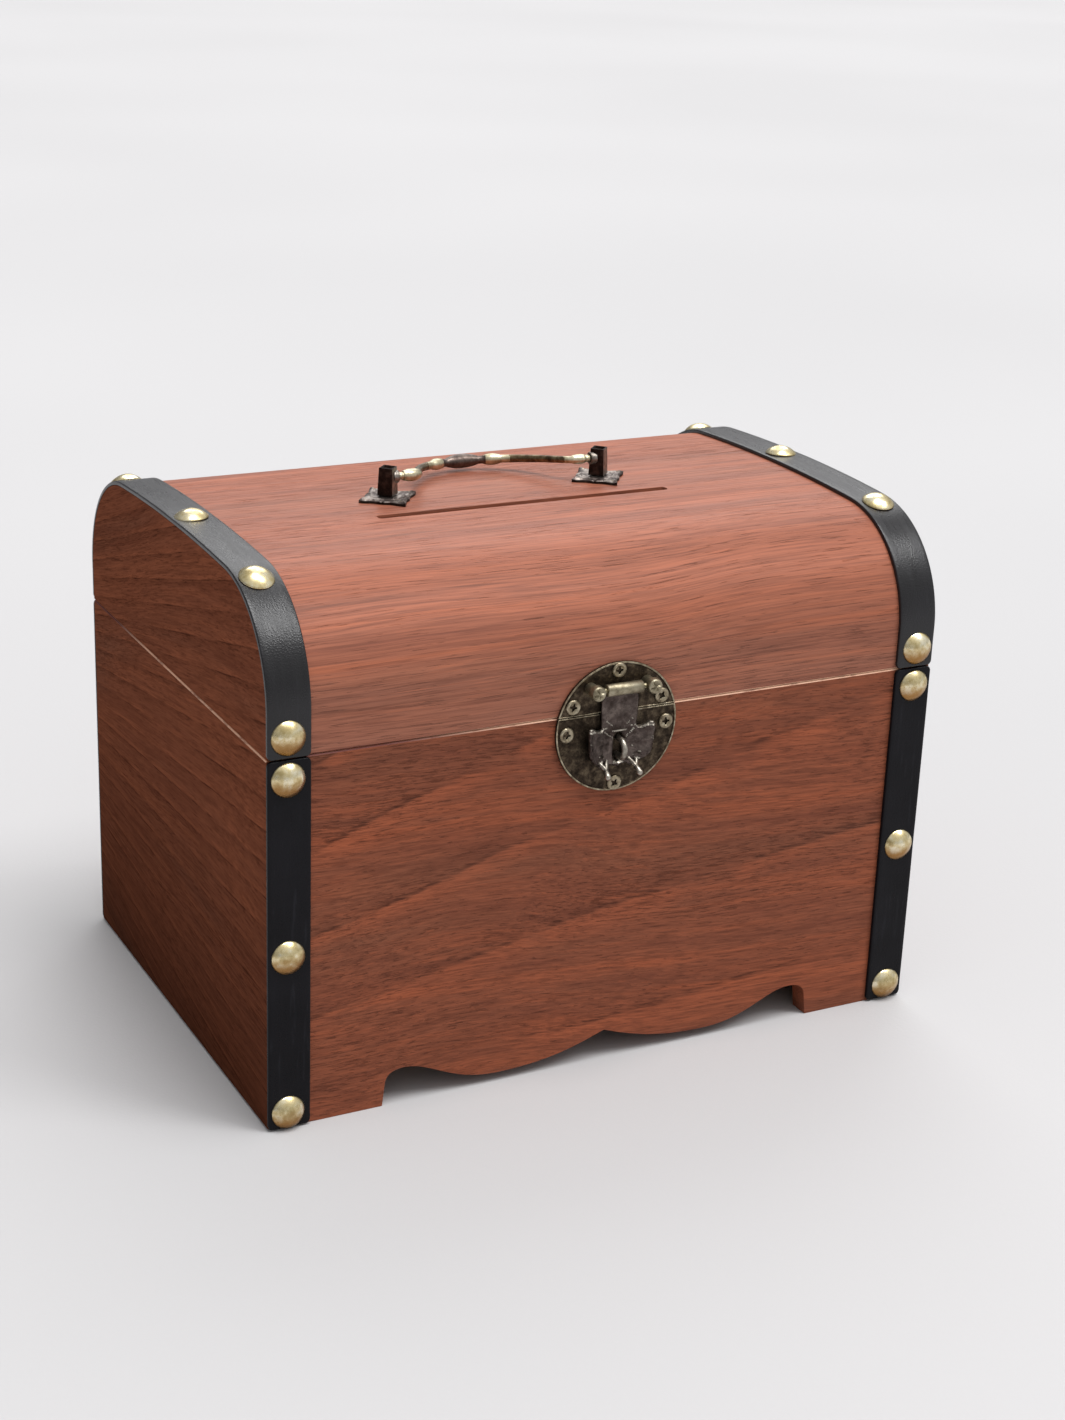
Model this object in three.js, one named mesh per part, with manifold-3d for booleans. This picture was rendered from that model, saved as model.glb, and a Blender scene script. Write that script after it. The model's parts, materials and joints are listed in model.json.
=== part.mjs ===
// A small domed wooden money chest: a box body, a hinged arched lid with a coin slot, leather-look
// corner straps held by dome-head nails, a butterfly hasp and a folding bail handle.
// Millimetres. +X runs to the right along the front, -Y is the front, +Z is up.
// The origin is under the middle of the chest's own bounding box, on the plane that it stands on.

import * as THREE from "three";
import { mergeVertices } from "three/addons/utils/BufferGeometryUtils.js";
import Module from "manifold-3d";

const wasm = await Module();
wasm.setup();

// ---------------------------------------------------------------- driving dimensions

const chest = { width: 225, depth: 157, partingZ: 117.1, partingGap: 0.6 };
const board = { end: 10, front: 7, base: 6, baseZ: 14, lidSkin: 4, glueGap: 0.1 };
const lidArch = { springZ: 129.8, topZ: 165.1, cornerRadius: 34, cornerSteps: 10, crownSteps: 6 };
const rail = { depth: 10, topZ: 129.6 };
const apron = {
  footX: 75.6, shoulderX: 74.8, shoulderZ: 7,
  peakX: 68.5, peakZ: 11.6,
  lobeX: 37, lobeZ: 3, cuspZ: 9.9,
};
const coinSlot = { x: -1.8, y: -16.5, length: 101, width: 4.4 };
const strap = { width: 13.2, thickness: 1.2, footGap: 0.5, partingGap: 0.5 };
const nail = {
  inset: 6.2, headRadius: 5.2, headHeight: 2.4,
  shankRadius: 0.8, grip: 4, holeRadius: 1.1, seat: 0.05,
};
const plate = { x: -1.5, z: 112.2, radius: 20.4, thickness: 1, splitGap: 0.5 };
const screw = { headRadius: 2.4, headHeight: 0.9, shankRadius: 0.9, holeRadius: 1.25, depth: 3.6 };
const flapHinge = {
  z: 125.4, stand: 4.4, barrelRadius: 1.9, barrelLength: 12.2,
  lugX: 9.5, lugRadius: 2.4, stemRadius: 1.6,
};
const flap = { stand: 1.45, thickness: 1.2, foldX: 5.2, reachX: 12, lift: 2.6, prongRadius: 0.85 };
const smallPin = { radius: 0.8, boreRadius: 1.15 };
const staple = { z: 106.3, reach: 7.5, radius: 3.7, eyeRadius: 2.3, thickness: 1.4, tangDepth: 4 };
const handle = { x: -4.2, y: 0.8, spacing: 74.4, pivotHeight: 7, grip: 25.5, gripRadius: 3 };
const rosette = { tipRadius: 10.4, sideRadius: 7.2, thickness: 1.6 };
const post = { height: 8.6, footRadius: 3.6, topRadius: 3.1, spigotRadius: 1.1, holeRadius: 1.45 };
const bail = {
  wireRadius: 1.5, pinRadius: 1.2, pinHoleRadius: 1.6, pinDepth: 2.4,
  knuckleX: 10.6, knuckleRadius: 2.5,
};
const rearHinge = {
  x: 60, width: 24, axisStand: 2.3, knuckleRadius: 2,
  leafHeight: 9.6, leafThickness: 0.9, gap: 0.3,
};

// ---------------------------------------------------------------- worked-out dimensions

const halfWidth = chest.width / 2;
const halfDepth = chest.depth / 2;
const bodyTop = chest.partingZ - chest.partingGap / 2;
const lidBottom = chest.partingZ + chest.partingGap / 2;
const innerHalfWidth = halfWidth - board.end - board.glueGap;
const innerHalfDepth = halfDepth - board.front - board.glueGap;
const strapOuter = board.glueGap + strap.thickness;
const nailX = halfWidth - nail.inset;

// The lid's outline is a three-centred arch: two tight corners that run into one shallow crown.
const cornerCentreY = halfDepth - lidArch.cornerRadius;
const crownRise = lidArch.topZ - lidArch.springZ - lidArch.cornerRadius;
const crownDrop = (cornerCentreY ** 2 - crownRise ** 2) / (2 * crownRise);
const crownRadius = lidArch.cornerRadius + Math.hypot(cornerCentreY, crownDrop);
const crownAngle = Math.atan2(cornerCentreY, crownDrop);
const crownCentreZ = lidArch.springZ - crownDrop;

// The bounding box reaches from the staple in front to the nail heads behind.
const frontReach = halfDepth + staple.reach;
const backReach = halfDepth + strapOuter + nail.seat + nail.headHeight;
const originShiftY = (frontReach - backReach) / 2;

// ---------------------------------------------------------------- materials

const looks = {
  redWood: { color: 0x9c5443, roughness: 0.55, metalness: 0 },
  darkWood: { color: 0x5e3128, roughness: 0.6, metalness: 0 },
  rawWood: { color: 0xc99a72, roughness: 0.75, metalness: 0 },
  blackLeather: { color: 0x1d1d20, roughness: 0.5, metalness: 0 },
  paleBrass: { color: 0xc9b06a, roughness: 0.3, metalness: 0.9 },
  darkBronze: { color: 0x4a4335, roughness: 0.45, metalness: 0.85 },
  agedPewter: { color: 0x6c6257, roughness: 0.45, metalness: 0.85 },
  wornBrass: { color: 0x9a8a5c, roughness: 0.4, metalness: 0.9 },
};

// ---------------------------------------------------------------- solids and joins

const X = new THREE.Vector3(1, 0, 0);
const Y = new THREE.Vector3(0, 1, 0);
const Z = new THREE.Vector3(0, 0, 1);

function solid(geometry) {
  const bare = geometry.clone();
  bare.deleteAttribute("normal");
  bare.deleteAttribute("uv");
  const welded = mergeVertices(bare, 1e-4);
  return new wasm.Manifold(
    new wasm.Mesh({
      numProp: 3,
      vertProperties: welded.attributes.position.array,
      triVerts: new Uint32Array(welded.index.array),
    }),
  );
}

function join(first, ...others) {
  return others.reduce((whole, piece) => whole.add(piece), first);
}

function cut(body, ...cutters) {
  return cutters.reduce((rest, cutter) => rest.subtract(cutter), body);
}

function geometryOf(body) {
  const mesh = body.getMesh();
  return new THREE.BufferGeometry()
    .setAttribute("position", new THREE.BufferAttribute(mesh.vertProperties, 3))
    .setIndex(new THREE.BufferAttribute(mesh.triVerts, 1));
}

function block(low, high) {
  const size = high.map((value, i) => value - low[i]);
  const middle = high.map((value, i) => (value + low[i]) / 2);
  return solid(new THREE.BoxGeometry(...size).translate(...middle));
}

function arcPoints(centreX, centreY, radius, from, to, steps) {
  return Array.from({ length: steps + 1 }, (_, i) => {
    const angle = from + ((to - from) * i) / steps;
    return new THREE.Vector2(centreX + radius * Math.cos(angle), centreY + radius * Math.sin(angle));
  });
}

function extruded(outline, depth) {
  return new THREE.ExtrudeGeometry(new THREE.Shape(outline), { depth, bevelEnabled: false });
}

// An outline given as (Y, Z) points, extruded along X.
function crossSection(outline, fromX, toX) {
  const turn = new THREE.Matrix4().makeBasis(Y, Z, X);
  return solid(extruded(outline, toX - fromX).applyMatrix4(turn).translate(fromX, 0, 0));
}

// An outline given as (X, Z) points, extruded from backY towards the front.
function frontPlate(outline, backY, thickness) {
  const turn = new THREE.Matrix4().makeBasis(X, Z, Y.clone().negate());
  return solid(extruded(outline, thickness).applyMatrix4(turn).translate(0, backY, 0));
}

function placedAlong(geometry, at, direction) {
  const turn = new THREE.Quaternion().setFromUnitVectors(Y, direction);
  return geometry.applyQuaternion(turn).translate(at.x, at.y, at.z);
}

function rod(radius, from, to, sides = 12) {
  const span = new THREE.Vector3().subVectors(to, from);
  const cylinder = new THREE.CylinderGeometry(radius, radius, span.length(), sides);
  const middle = new THREE.Vector3().addVectors(from, to).multiplyScalar(0.5);
  return solid(placedAlong(cylinder, middle, span.normalize()));
}

function rodAlongX(radius, fromX, toX, y, z, sides = 12) {
  return rod(radius, new THREE.Vector3(fromX, y, z), new THREE.Vector3(toX, y, z), sides);
}

function ball(radius, x, y, z) {
  return solid(new THREE.SphereGeometry(radius, 12, 8).translate(x, y, z));
}

// ---------------------------------------------------------------- the chest and its bodies

const chestGroup = new THREE.Group();
chestGroup.position.y = originShiftY;

function add(name, body, look) {
  const mesh = new THREE.Mesh(geometryOf(body), new THREE.MeshStandardMaterial(looks[look]));
  mesh.name = name;
  chestGroup.add(mesh);
}

const sides = [
  { name: "left", sign: -1, shoulderNailY: -55.5, topNailY: -1.5 },
  { name: "right", sign: 1, shoulderNailY: -52, topNailY: 5.5 },
];

// ---------------------------------------------------------------- arched outlines

// The arch, moved inwards by inset, from its front foot at footZ over the top to its back foot.
function archOutline(inset, footZ) {
  const radius = lidArch.cornerRadius - inset;
  const { springZ, cornerSteps, crownSteps } = lidArch;
  const meet = Math.PI / 2 + crownAngle;
  const front = arcPoints(-cornerCentreY, springZ, radius, Math.PI, meet, cornerSteps);
  const crown = arcPoints(0, crownCentreZ, crownRadius - inset, meet, Math.PI - meet, crownSteps);
  const back = arcPoints(cornerCentreY, springZ, radius, Math.PI - meet, 0, cornerSteps);
  const foot = halfDepth - inset;
  return [
    new THREE.Vector2(-foot, footZ),
    ...front,
    ...crown.slice(1, -1),
    ...back,
    new THREE.Vector2(foot, footZ),
  ];
}

// A band that follows the arch between two insets.
function archBand(outerInset, innerInset, footZ) {
  return [...archOutline(outerInset, footZ), ...archOutline(innerInset, footZ).reverse()];
}

// The point of the arch at a given Y, and the direction that it faces there.
function archPoint(y) {
  if (Math.abs(y) <= crownRadius * Math.sin(crownAngle)) {
    const lean = Math.asin(y / crownRadius);
    return { z: crownCentreZ + crownRadius * Math.cos(lean), lean };
  }
  const lean = Math.asin((y - Math.sign(y) * cornerCentreY) / lidArch.cornerRadius);
  return { z: lidArch.springZ + lidArch.cornerRadius * Math.cos(lean), lean };
}

// ---------------------------------------------------------------- nails

function nailSpot(name, x, y, z, direction) {
  return { name, at: new THREE.Vector3(x, y, z), direction };
}

function archSpot(name, x, y) {
  const { z, lean } = archPoint(y);
  return nailSpot(name, x, y, z, new THREE.Vector3(0, Math.sin(lean), Math.cos(lean)));
}

function wallSpots(side, wall, heights) {
  const sign = wall === "front" ? -1 : 1;
  const direction = new THREE.Vector3(0, sign, 0);
  const x = side.sign * nailX;
  const faceY = sign * halfDepth;
  return heights.map((z, i) => nailSpot(`${side.name}_${wall}_nail_${i + 1}`, x, faceY, z, direction));
}

function lidSpots(side) {
  const wallZ = 123.5;
  const rearNailY = 59.5;
  const x = side.sign * nailX;
  const name = (index) => `${side.name}_lid_nail_${index}`;
  return [
    nailSpot(name(1), x, -halfDepth, wallZ, Y.clone().negate()),
    archSpot(name(2), x, side.shoulderNailY),
    archSpot(name(3), x, side.topNailY),
    archSpot(name(4), x, rearNailY),
    nailSpot(name(5), x, halfDepth, wallZ, Y.clone()),
  ];
}

function nailBody(spot) {
  const { headRadius, headHeight, shankRadius, grip, seat } = nail;
  const domeRadius = (headRadius ** 2 + headHeight ** 2) / (2 * headHeight);
  const edge = Math.asin(headRadius / domeRadius);
  const dome = arcPoints(0, headHeight - domeRadius, domeRadius, Math.PI / 2 - edge, Math.PI / 2, 3);
  const profile = [
    new THREE.Vector2(0, -strapOuter - grip),
    new THREE.Vector2(shankRadius, -strapOuter - grip),
    new THREE.Vector2(shankRadius, 0),
    ...dome,
  ];
  profile[profile.length - 1].x = 0;
  const foot = spot.at.clone().addScaledVector(spot.direction, strapOuter + seat);
  return solid(placedAlong(new THREE.LatheGeometry(profile, 12), foot, spot.direction));
}

function nailHole(spot) {
  const outside = spot.at.clone().addScaledVector(spot.direction, nail.headHeight);
  const bottom = spot.at.clone().addScaledVector(spot.direction, -nail.grip - nail.headHeight / 2);
  return rod(nail.holeRadius, outside, bottom, 6);
}

// ---------------------------------------------------------------- box body

function addEndPanel(side, holes) {
  const outer = side.sign * halfWidth;
  const inner = side.sign * (halfWidth - board.end);
  const low = [Math.min(outer, inner), -halfDepth, 0];
  const high = [Math.max(outer, inner), halfDepth, bodyTop];
  add(`${side.name}_end_panel`, cut(block(low, high), ...holes), "darkWood");
}

// The lower edge of the front panel: two feet, and between them two hanging lobes that meet in a cusp.
function apronEdge() {
  const { footX, shoulderX, shoulderZ, peakX, peakZ, lobeX, lobeZ, cuspZ } = apron;
  const half = new THREE.Path();
  half.moveTo(shoulderX, shoulderZ);
  half.quadraticCurveTo(shoulderX - 0.4, peakZ, peakX, peakZ);
  half.bezierCurveTo(peakX - 9, peakZ, lobeX + 16, lobeZ, lobeX, lobeZ);
  half.bezierCurveTo(lobeX - 16, lobeZ, 12, cuspZ - 4.6, 0, cuspZ);
  const right = [new THREE.Vector2(footX, 0), ...half.getPoints(6)];
  const left = right.slice(0, -1).map((point) => new THREE.Vector2(-point.x, point.y));
  return [...left, ...right.reverse()];
}

function addFrontPanel(holes) {
  const outline = [
    new THREE.Vector2(innerHalfWidth, 0),
    new THREE.Vector2(innerHalfWidth, bodyTop),
    new THREE.Vector2(-innerHalfWidth, bodyTop),
    new THREE.Vector2(-innerHalfWidth, 0),
    ...apronEdge(),
  ];
  const panel = frontPlate(outline, -halfDepth + board.front, board.front);
  add("front_panel", cut(panel, ...holes), "redWood");
}

function addBackAndBase() {
  const backLow = [-innerHalfWidth, halfDepth - board.front, 0];
  add("back_panel", block(backLow, [innerHalfWidth, halfDepth, bodyTop]), "redWood");
  const baseLow = [-innerHalfWidth, -innerHalfDepth, board.baseZ];
  const baseHigh = [innerHalfWidth, innerHalfDepth, board.baseZ + board.base];
  add("bottom_panel", block(baseLow, baseHigh), "rawWood");
}

// ---------------------------------------------------------------- lid

function addLidEnd(side, holes) {
  const outer = side.sign * halfWidth;
  const inner = side.sign * (halfWidth - board.end);
  const outline = archOutline(0, lidBottom).reverse();
  const end = crossSection(outline, Math.min(outer, inner), Math.max(outer, inner));
  add(`${side.name}_lid_end`, cut(end, ...holes), "darkWood");
}

function addLidShell(holes) {
  const band = archBand(0, board.lidSkin, lidBottom).reverse();
  const shell = crossSection(band, -innerHalfWidth, innerHalfWidth);
  const slotHalf = [coinSlot.length / 2, coinSlot.width / 2];
  const slot = block(
    [coinSlot.x - slotHalf[0], coinSlot.y - slotHalf[1], lidArch.topZ - 4 * board.lidSkin],
    [coinSlot.x + slotHalf[0], coinSlot.y + slotHalf[1], lidArch.topZ + board.lidSkin],
  );
  add("lid_shell", cut(shell, slot, ...holes), "redWood");
}

function addLidRails() {
  const outerY = halfDepth - board.lidSkin - board.glueGap;
  const innerY = outerY - rail.depth;
  const width = innerHalfWidth - board.glueGap;
  add("lid_front_rail", block([-width, -outerY, lidBottom], [width, -innerY, rail.topZ]), "rawWood");
  add("lid_back_rail", block([-width, innerY, lidBottom], [width, outerY, rail.topZ]), "rawWood");
}

// ---------------------------------------------------------------- straps

function strapSpanX(side) {
  const outer = side.sign * halfWidth;
  const inner = side.sign * (halfWidth - strap.width);
  return [Math.min(outer, inner), Math.max(outer, inner)];
}

function addWallStrap(side, wall, holes) {
  const [fromX, toX] = strapSpanX(side);
  const nearY = halfDepth + board.glueGap;
  const farY = halfDepth + strapOuter;
  const [lowY, highY] = wall === "front" ? [-farY, -nearY] : [nearY, farY];
  const top = bodyTop - strap.partingGap;
  const body = block([fromX, lowY, strap.footGap], [toX, highY, top]);
  add(`${side.name}_${wall}_strap`, cut(body, ...holes), "blackLeather");
}

function addLidStrap(side, holes) {
  const [fromX, toX] = strapSpanX(side);
  const band = archBand(-strapOuter, -board.glueGap, lidBottom + strap.partingGap).reverse();
  add(`${side.name}_lid_strap`, cut(crossSection(band, fromX, toX), ...holes), "blackLeather");
}

function addSide(side) {
  const front = wallSpots(side, "front", [111, 56, 5.7]);
  const back = wallSpots(side, "back", [111, 56, 5.7]);
  const lid = lidSpots(side);
  const holes = (spots) => spots.map(nailHole);
  addEndPanel(side, holes([...front, ...back]));
  addLidEnd(side, holes(lid));
  addWallStrap(side, "front", holes(front));
  addWallStrap(side, "back", holes(back));
  addLidStrap(side, holes(lid));
  [...front, ...back, ...lid].forEach((spot) => add(spot.name, nailBody(spot), "paleBrass"));
}

// ---------------------------------------------------------------- hasp

const plateFrontY = -halfDepth - board.glueGap - plate.thickness;
const haspAxisY = -halfDepth - flapHinge.stand;

const haspScrews = [
  { x: 0, z: 17.8, half: "upper" },
  { x: -15, z: 8, half: "upper" },
  { x: 15, z: 8, half: "upper" },
  { x: -16.8, z: -0.5, half: "lower" },
  { x: 16.8, z: -0.5, half: "lower" },
  { x: 0, z: -18, half: "lower" },
].map(({ x, z, half }) => ({ x: plate.x + x, z: plate.z + z, half }));

function screwHole({ x, z }) {
  const front = new THREE.Vector3(x, plateFrontY - 1, z);
  const bottom = new THREE.Vector3(x, -halfDepth + screw.depth + 0.3, z);
  return rod(screw.holeRadius, front, bottom, 8);
}

const screwHoles = (half) => haspScrews.filter((spot) => spot.half === half).map(screwHole);

function screwBody({ x, z }) {
  const { headRadius, headHeight, shankRadius, depth } = screw;
  const length = -plateFrontY - halfDepth + depth;
  const profile = [
    new THREE.Vector2(0, -length),
    new THREE.Vector2(shankRadius, -length),
    new THREE.Vector2(shankRadius, 0),
    new THREE.Vector2(headRadius, 0),
    new THREE.Vector2(headRadius * 0.75, headHeight * 0.75),
    new THREE.Vector2(0, headHeight),
  ];
  const seat = new THREE.Vector3(x, plateFrontY - nail.seat, z);
  return solid(placedAlong(new THREE.LatheGeometry(profile, 12), seat, Y.clone().negate()));
}

// The half of the round plate above or below a level line.
function plateHalf(edgeZ, upper) {
  const edge = Math.asin((edgeZ - plate.z) / plate.radius);
  const [from, to] = upper ? [edge, Math.PI - edge] : [Math.PI - edge, 2 * Math.PI + edge];
  const outline = arcPoints(plate.x, plate.z, plate.radius, from, to, 24);
  return frontPlate(outline, -halfDepth - board.glueGap, plate.thickness);
}

function haspBore(halfLength) {
  const { boreRadius } = smallPin;
  return rodAlongX(boreRadius, plate.x - halfLength, plate.x + halfLength, haspAxisY, flapHinge.z);
}

function addHaspPlates() {
  const lugs = [-1, 1].map((sign) => {
    const knob = new THREE.Vector3(plate.x + sign * flapHinge.lugX, haspAxisY, flapHinge.z);
    const foot = knob.clone().setY(plateFrontY + plate.thickness / 2);
    return join(ball(flapHinge.lugRadius, knob.x, knob.y, knob.z), rod(flapHinge.stemRadius, knob, foot));
  });
  const upper = join(plateHalf(lidBottom + plate.splitGap / 2, true), ...lugs);
  const throughLugs = haspBore(flapHinge.lugX + 2 * flapHinge.lugRadius);
  add("hasp_upper_plate", cut(upper, throughLugs, ...screwHoles("upper")), "darkBronze");
  const lower = plateHalf(bodyTop - plate.splitGap / 2, false);
  add("hasp_lower_plate", cut(lower, stapleTang(0.35), ...screwHoles("lower")), "darkBronze");
}

function addHaspPin() {
  const half = flapHinge.lugX + flapHinge.lugRadius - 0.5;
  const pin = rodAlongX(smallPin.radius, plate.x - half, plate.x + half, haspAxisY, flapHinge.z);
  add("hasp_hinge_pin", pin, "wornBrass");
}

// The tang that holds the staple, grown by a clearance when it is used as a cutter.
function stapleTang(clearance) {
  const halfX = staple.thickness / 2 + clearance;
  const halfZ = staple.thickness + clearance;
  return block(
    [plate.x - halfX, plateFrontY - 1, staple.z - halfZ],
    [plate.x + halfX, -halfDepth + staple.tangDepth + clearance, staple.z + halfZ],
  );
}

function addStaple() {
  const centreY = -halfDepth - staple.reach + staple.radius;
  const rootY = plateFrontY - 0.1;
  const ring = [
    new THREE.Vector2(rootY, staple.z - staple.radius),
    new THREE.Vector2(rootY, staple.z + staple.radius),
    ...arcPoints(centreY, staple.z, staple.radius, Math.PI / 2, 1.5 * Math.PI, 10),
  ];
  const halfX = staple.thickness / 2;
  const eye = rodAlongX(staple.eyeRadius, plate.x - 2, plate.x + 2, centreY, staple.z, 16);
  const body = crossSection(ring, plate.x - halfX, plate.x + halfX);
  add("hasp_staple", join(cut(body, eye), cut(stapleTang(0), eye)), "agedPewter");
}

// Half of the butterfly, from the top of its neck round the wing to the middle of its lower edge.
const butterflyHalf = [
  [6, 13.2],
  [6, -0.6],
  [10.6, 1.2],
  [10.8, -7.6],
  [8.6, -11],
  [4.9, -12],
  [3, -11.4],
  [0, -12.1],
];

// A strip that is flat behind the neck and bends forwards under both wings.
function foldedStrip(lowZ, highZ) {
  const { foldX, reachX, lift, stand, thickness } = flap;
  const backY = -halfDepth - stand;
  const fold = [
    [-reachX, backY - lift],
    [-foldX, backY],
    [foldX, backY],
    [reachX, backY - lift],
  ];
  const back = fold.map(([x, y]) => new THREE.Vector2(plate.x + x, y));
  const front = fold.map(([x, y]) => new THREE.Vector2(plate.x + x, y - thickness)).reverse();
  return solid(extruded([...back, ...front], highZ - lowZ).translate(0, 0, lowZ));
}

// A prong that stands out of the flap's lower edge, for a thumb to lift it by.
function flapProng(sign) {
  const root = new THREE.Vector3(plate.x + sign * 4.7, -halfDepth - flap.stand - 0.8, plate.z - 10.9);
  const tip = new THREE.Vector3(plate.x + sign * 5.4, -halfDepth - staple.reach + 0.6, plate.z - 13.9);
  return rod(flap.prongRadius, root, tip, 10);
}

function addFlap() {
  const { barrelRadius, barrelLength } = flapHinge;
  const right = butterflyHalf.map(([x, z]) => new THREE.Vector2(plate.x + x, plate.z + z));
  const left = butterflyHalf.slice(0, -1).map(([x, z]) => new THREE.Vector2(plate.x - x, plate.z + z));
  const depth = 2 * flap.stand + flap.lift + flap.thickness;
  const outline = frontPlate([...left, ...right.reverse()], -halfDepth, depth);
  const wings = foldedStrip(plate.z - plate.radius, flapHinge.z).intersect(outline);
  const half = barrelLength / 2;
  const barrel = rodAlongX(barrelRadius, plate.x - half, plate.x + half, haspAxisY, flapHinge.z, 16);
  const slotHalf = { x: staple.thickness / 2 + 0.9, z: staple.radius + 0.7 };
  const slot = block(
    [plate.x - slotHalf.x, haspAxisY - 2, staple.z - slotHalf.z],
    [plate.x + slotHalf.x, -halfDepth, staple.z + slotHalf.z],
  );
  const body = join(wings, barrel, flapProng(-1), flapProng(1));
  add("hasp_flap", cut(body, haspBore(barrelLength), slot), "agedPewter");
}

function addHasp() {
  addHaspPlates();
  addHaspPin();
  addStaple();
  addFlap();
  haspScrews.forEach((spot, i) => add(`hasp_screw_${i + 1}`, screwBody(spot), "wornBrass"));
}

// ---------------------------------------------------------------- handle

const pivotZ = lidArch.topZ + handle.pivotHeight;
const postXs = [-1, 1].map((sign) => handle.x + (sign * handle.spacing) / 2);
const rosetteBottom = lidArch.topZ + nail.seat;
const postBottom = rosetteBottom + rosette.thickness + nail.seat;

function spigotHole(x) {
  const top = new THREE.Vector3(x, handle.y, postBottom + 1);
  const bottom = new THREE.Vector3(x, handle.y, lidArch.topZ - 2 * board.lidSkin);
  return rod(post.holeRadius, bottom, top, 10);
}

// A square plate set cornerwise, with a shallow notch in the middle of each side.
function addRosette(name, x) {
  const middleRadius = (rosette.tipRadius + rosette.sideRadius) / 2 - 0.4;
  const radii = [rosette.tipRadius, middleRadius, rosette.sideRadius, middleRadius];
  const outline = Array.from({ length: 16 }, (_, i) => {
    const angle = (i * Math.PI) / 8;
    const radius = radii[i % 4];
    return new THREE.Vector2(x + radius * Math.cos(angle), handle.y + radius * Math.sin(angle));
  });
  const body = solid(extruded(outline, rosette.thickness).translate(0, 0, rosetteBottom));
  add(name, cut(body, spigotHole(x)), "agedPewter");
}

// A square post, set cornerwise like its rosette, so the bail's pin enters at a corner.
function addPost(name, x, inward) {
  const { footRadius, topRadius, height } = post;
  const column = new THREE.CylinderGeometry(topRadius, footRadius, height, 4);
  column.rotateX(Math.PI / 2).translate(x, handle.y, postBottom + height / 2);
  const spigotEnd = new THREE.Vector3(x, handle.y, lidArch.topZ - board.lidSkin + 0.4);
  const spigot = rod(post.spigotRadius, spigotEnd, new THREE.Vector3(x, handle.y, postBottom + 1), 10);
  const holeEnd = x + inward * footRadius * 2;
  const hole = rodAlongX(bail.pinHoleRadius, Math.min(x, holeEnd), Math.max(x, holeEnd), handle.y, pivotZ);
  add(name, cut(join(solid(column), spigot), hole), "darkBronze");
}

// The bail lies back on the lid: its plane tips down by this angle until the grip rests there.
const gripDrop = handle.pivotHeight + (handle.grip ** 2) / (2 * crownRadius) - handle.gripRadius - 0.2;
const bailTip = Math.asin(gripDrop / handle.grip);

// A point of the bail: x from the handle's middle, reach behind the pivot axis.
function bailPoint(x, reach) {
  const y = handle.y + reach * Math.cos(bailTip);
  return new THREE.Vector3(handle.x + x, y, pivotZ - reach * Math.sin(bailTip));
}

function addBail() {
  const innerFace = handle.spacing / 2 - post.footRadius;
  const half = [
    [innerFace - 1.6, 0],
    [innerFace - 4.6, 2.6],
    [innerFace - 9, 11.5],
    [innerFace - 16.5, 19],
    [innerFace - 24, 23.6],
  ];
  const left = half.map(([x, reach]) => bailPoint(-x, reach));
  const right = half.map(([x, reach]) => bailPoint(x, reach)).reverse();
  const stations = [...left, bailPoint(0, handle.grip), ...right];
  const route = new THREE.CatmullRomCurve3(stations, false, "centripetal");
  const section = new THREE.Shape(arcPoints(0, 0, bail.wireRadius, 0, 1.75 * Math.PI, 7));
  const wire = solid(new THREE.ExtrudeGeometry(section, { steps: 36, extrudePath: route }));
  const ends = [-1, 1].map((sign) => {
    const from = handle.x + sign * (innerFace - 2.4);
    const to = handle.x + sign * (innerFace + bail.pinDepth);
    const pin = rodAlongX(bail.pinRadius, Math.min(from, to), Math.max(from, to), handle.y, pivotZ);
    return join(pin, ball(bail.wireRadius + 0.3, from, handle.y, pivotZ));
  });
  const grip = new THREE.SphereGeometry(handle.gripRadius, 12, 8).rotateZ(Math.PI / 2).scale(2.5, 1, 1);
  const middle = bailPoint(0, handle.grip);
  const knuckles = [-1, 1].map((sign) => {
    const centre = bailPoint(sign * bail.knuckleX, handle.grip - 1.2);
    return ball(bail.knuckleRadius, centre.x, centre.y, centre.z);
  });
  const gripBody = solid(grip.translate(middle.x, middle.y, middle.z));
  add("handle_bail", join(wire, ...ends, gripBody, ...knuckles), "wornBrass");
}

function addHandle() {
  ["left", "right"].forEach((name, i) => {
    addRosette(`handle_${name}_rosette`, postXs[i]);
    addPost(`handle_${name}_post`, postXs[i], i === 0 ? 1 : -1);
  });
  addBail();
}

// ---------------------------------------------------------------- rear hinges

const hingeAxisY = halfDepth + rearHinge.axisStand;
const leafBackY = halfDepth + board.glueGap + rearHinge.leafThickness;

// A leaf with knuckles over the given spans of X; towards is 1 for the lid leaf and -1 for the body leaf.
function hingeLeaf(centreX, spans, towards) {
  const { width, knuckleRadius, leafHeight, gap } = rearHinge;
  const near = chest.partingZ + towards * (knuckleRadius + gap);
  const far = near + towards * leafHeight;
  const leafY = [halfDepth + board.glueGap, leafBackY];
  const strip = (fromX, toX, zA, zB) =>
    block([fromX, leafY[0], Math.min(zA, zB)], [toX, leafY[1], Math.max(zA, zB)]);
  const leaf = strip(centreX - width / 2, centreX + width / 2, near, far);
  const knuckles = spans.map(([from, to]) => {
    const barrel = rodAlongX(knuckleRadius, centreX + from, centreX + to, hingeAxisY, chest.partingZ, 16);
    const web = strip(centreX + from, centreX + to, chest.partingZ + towards * 0.6, near + towards * 0.5);
    return join(barrel, web);
  });
  const bore = rodAlongX(smallPin.boreRadius, centreX - width, centreX + width, hingeAxisY, chest.partingZ);
  return cut(join(leaf, ...knuckles), bore);
}

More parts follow.
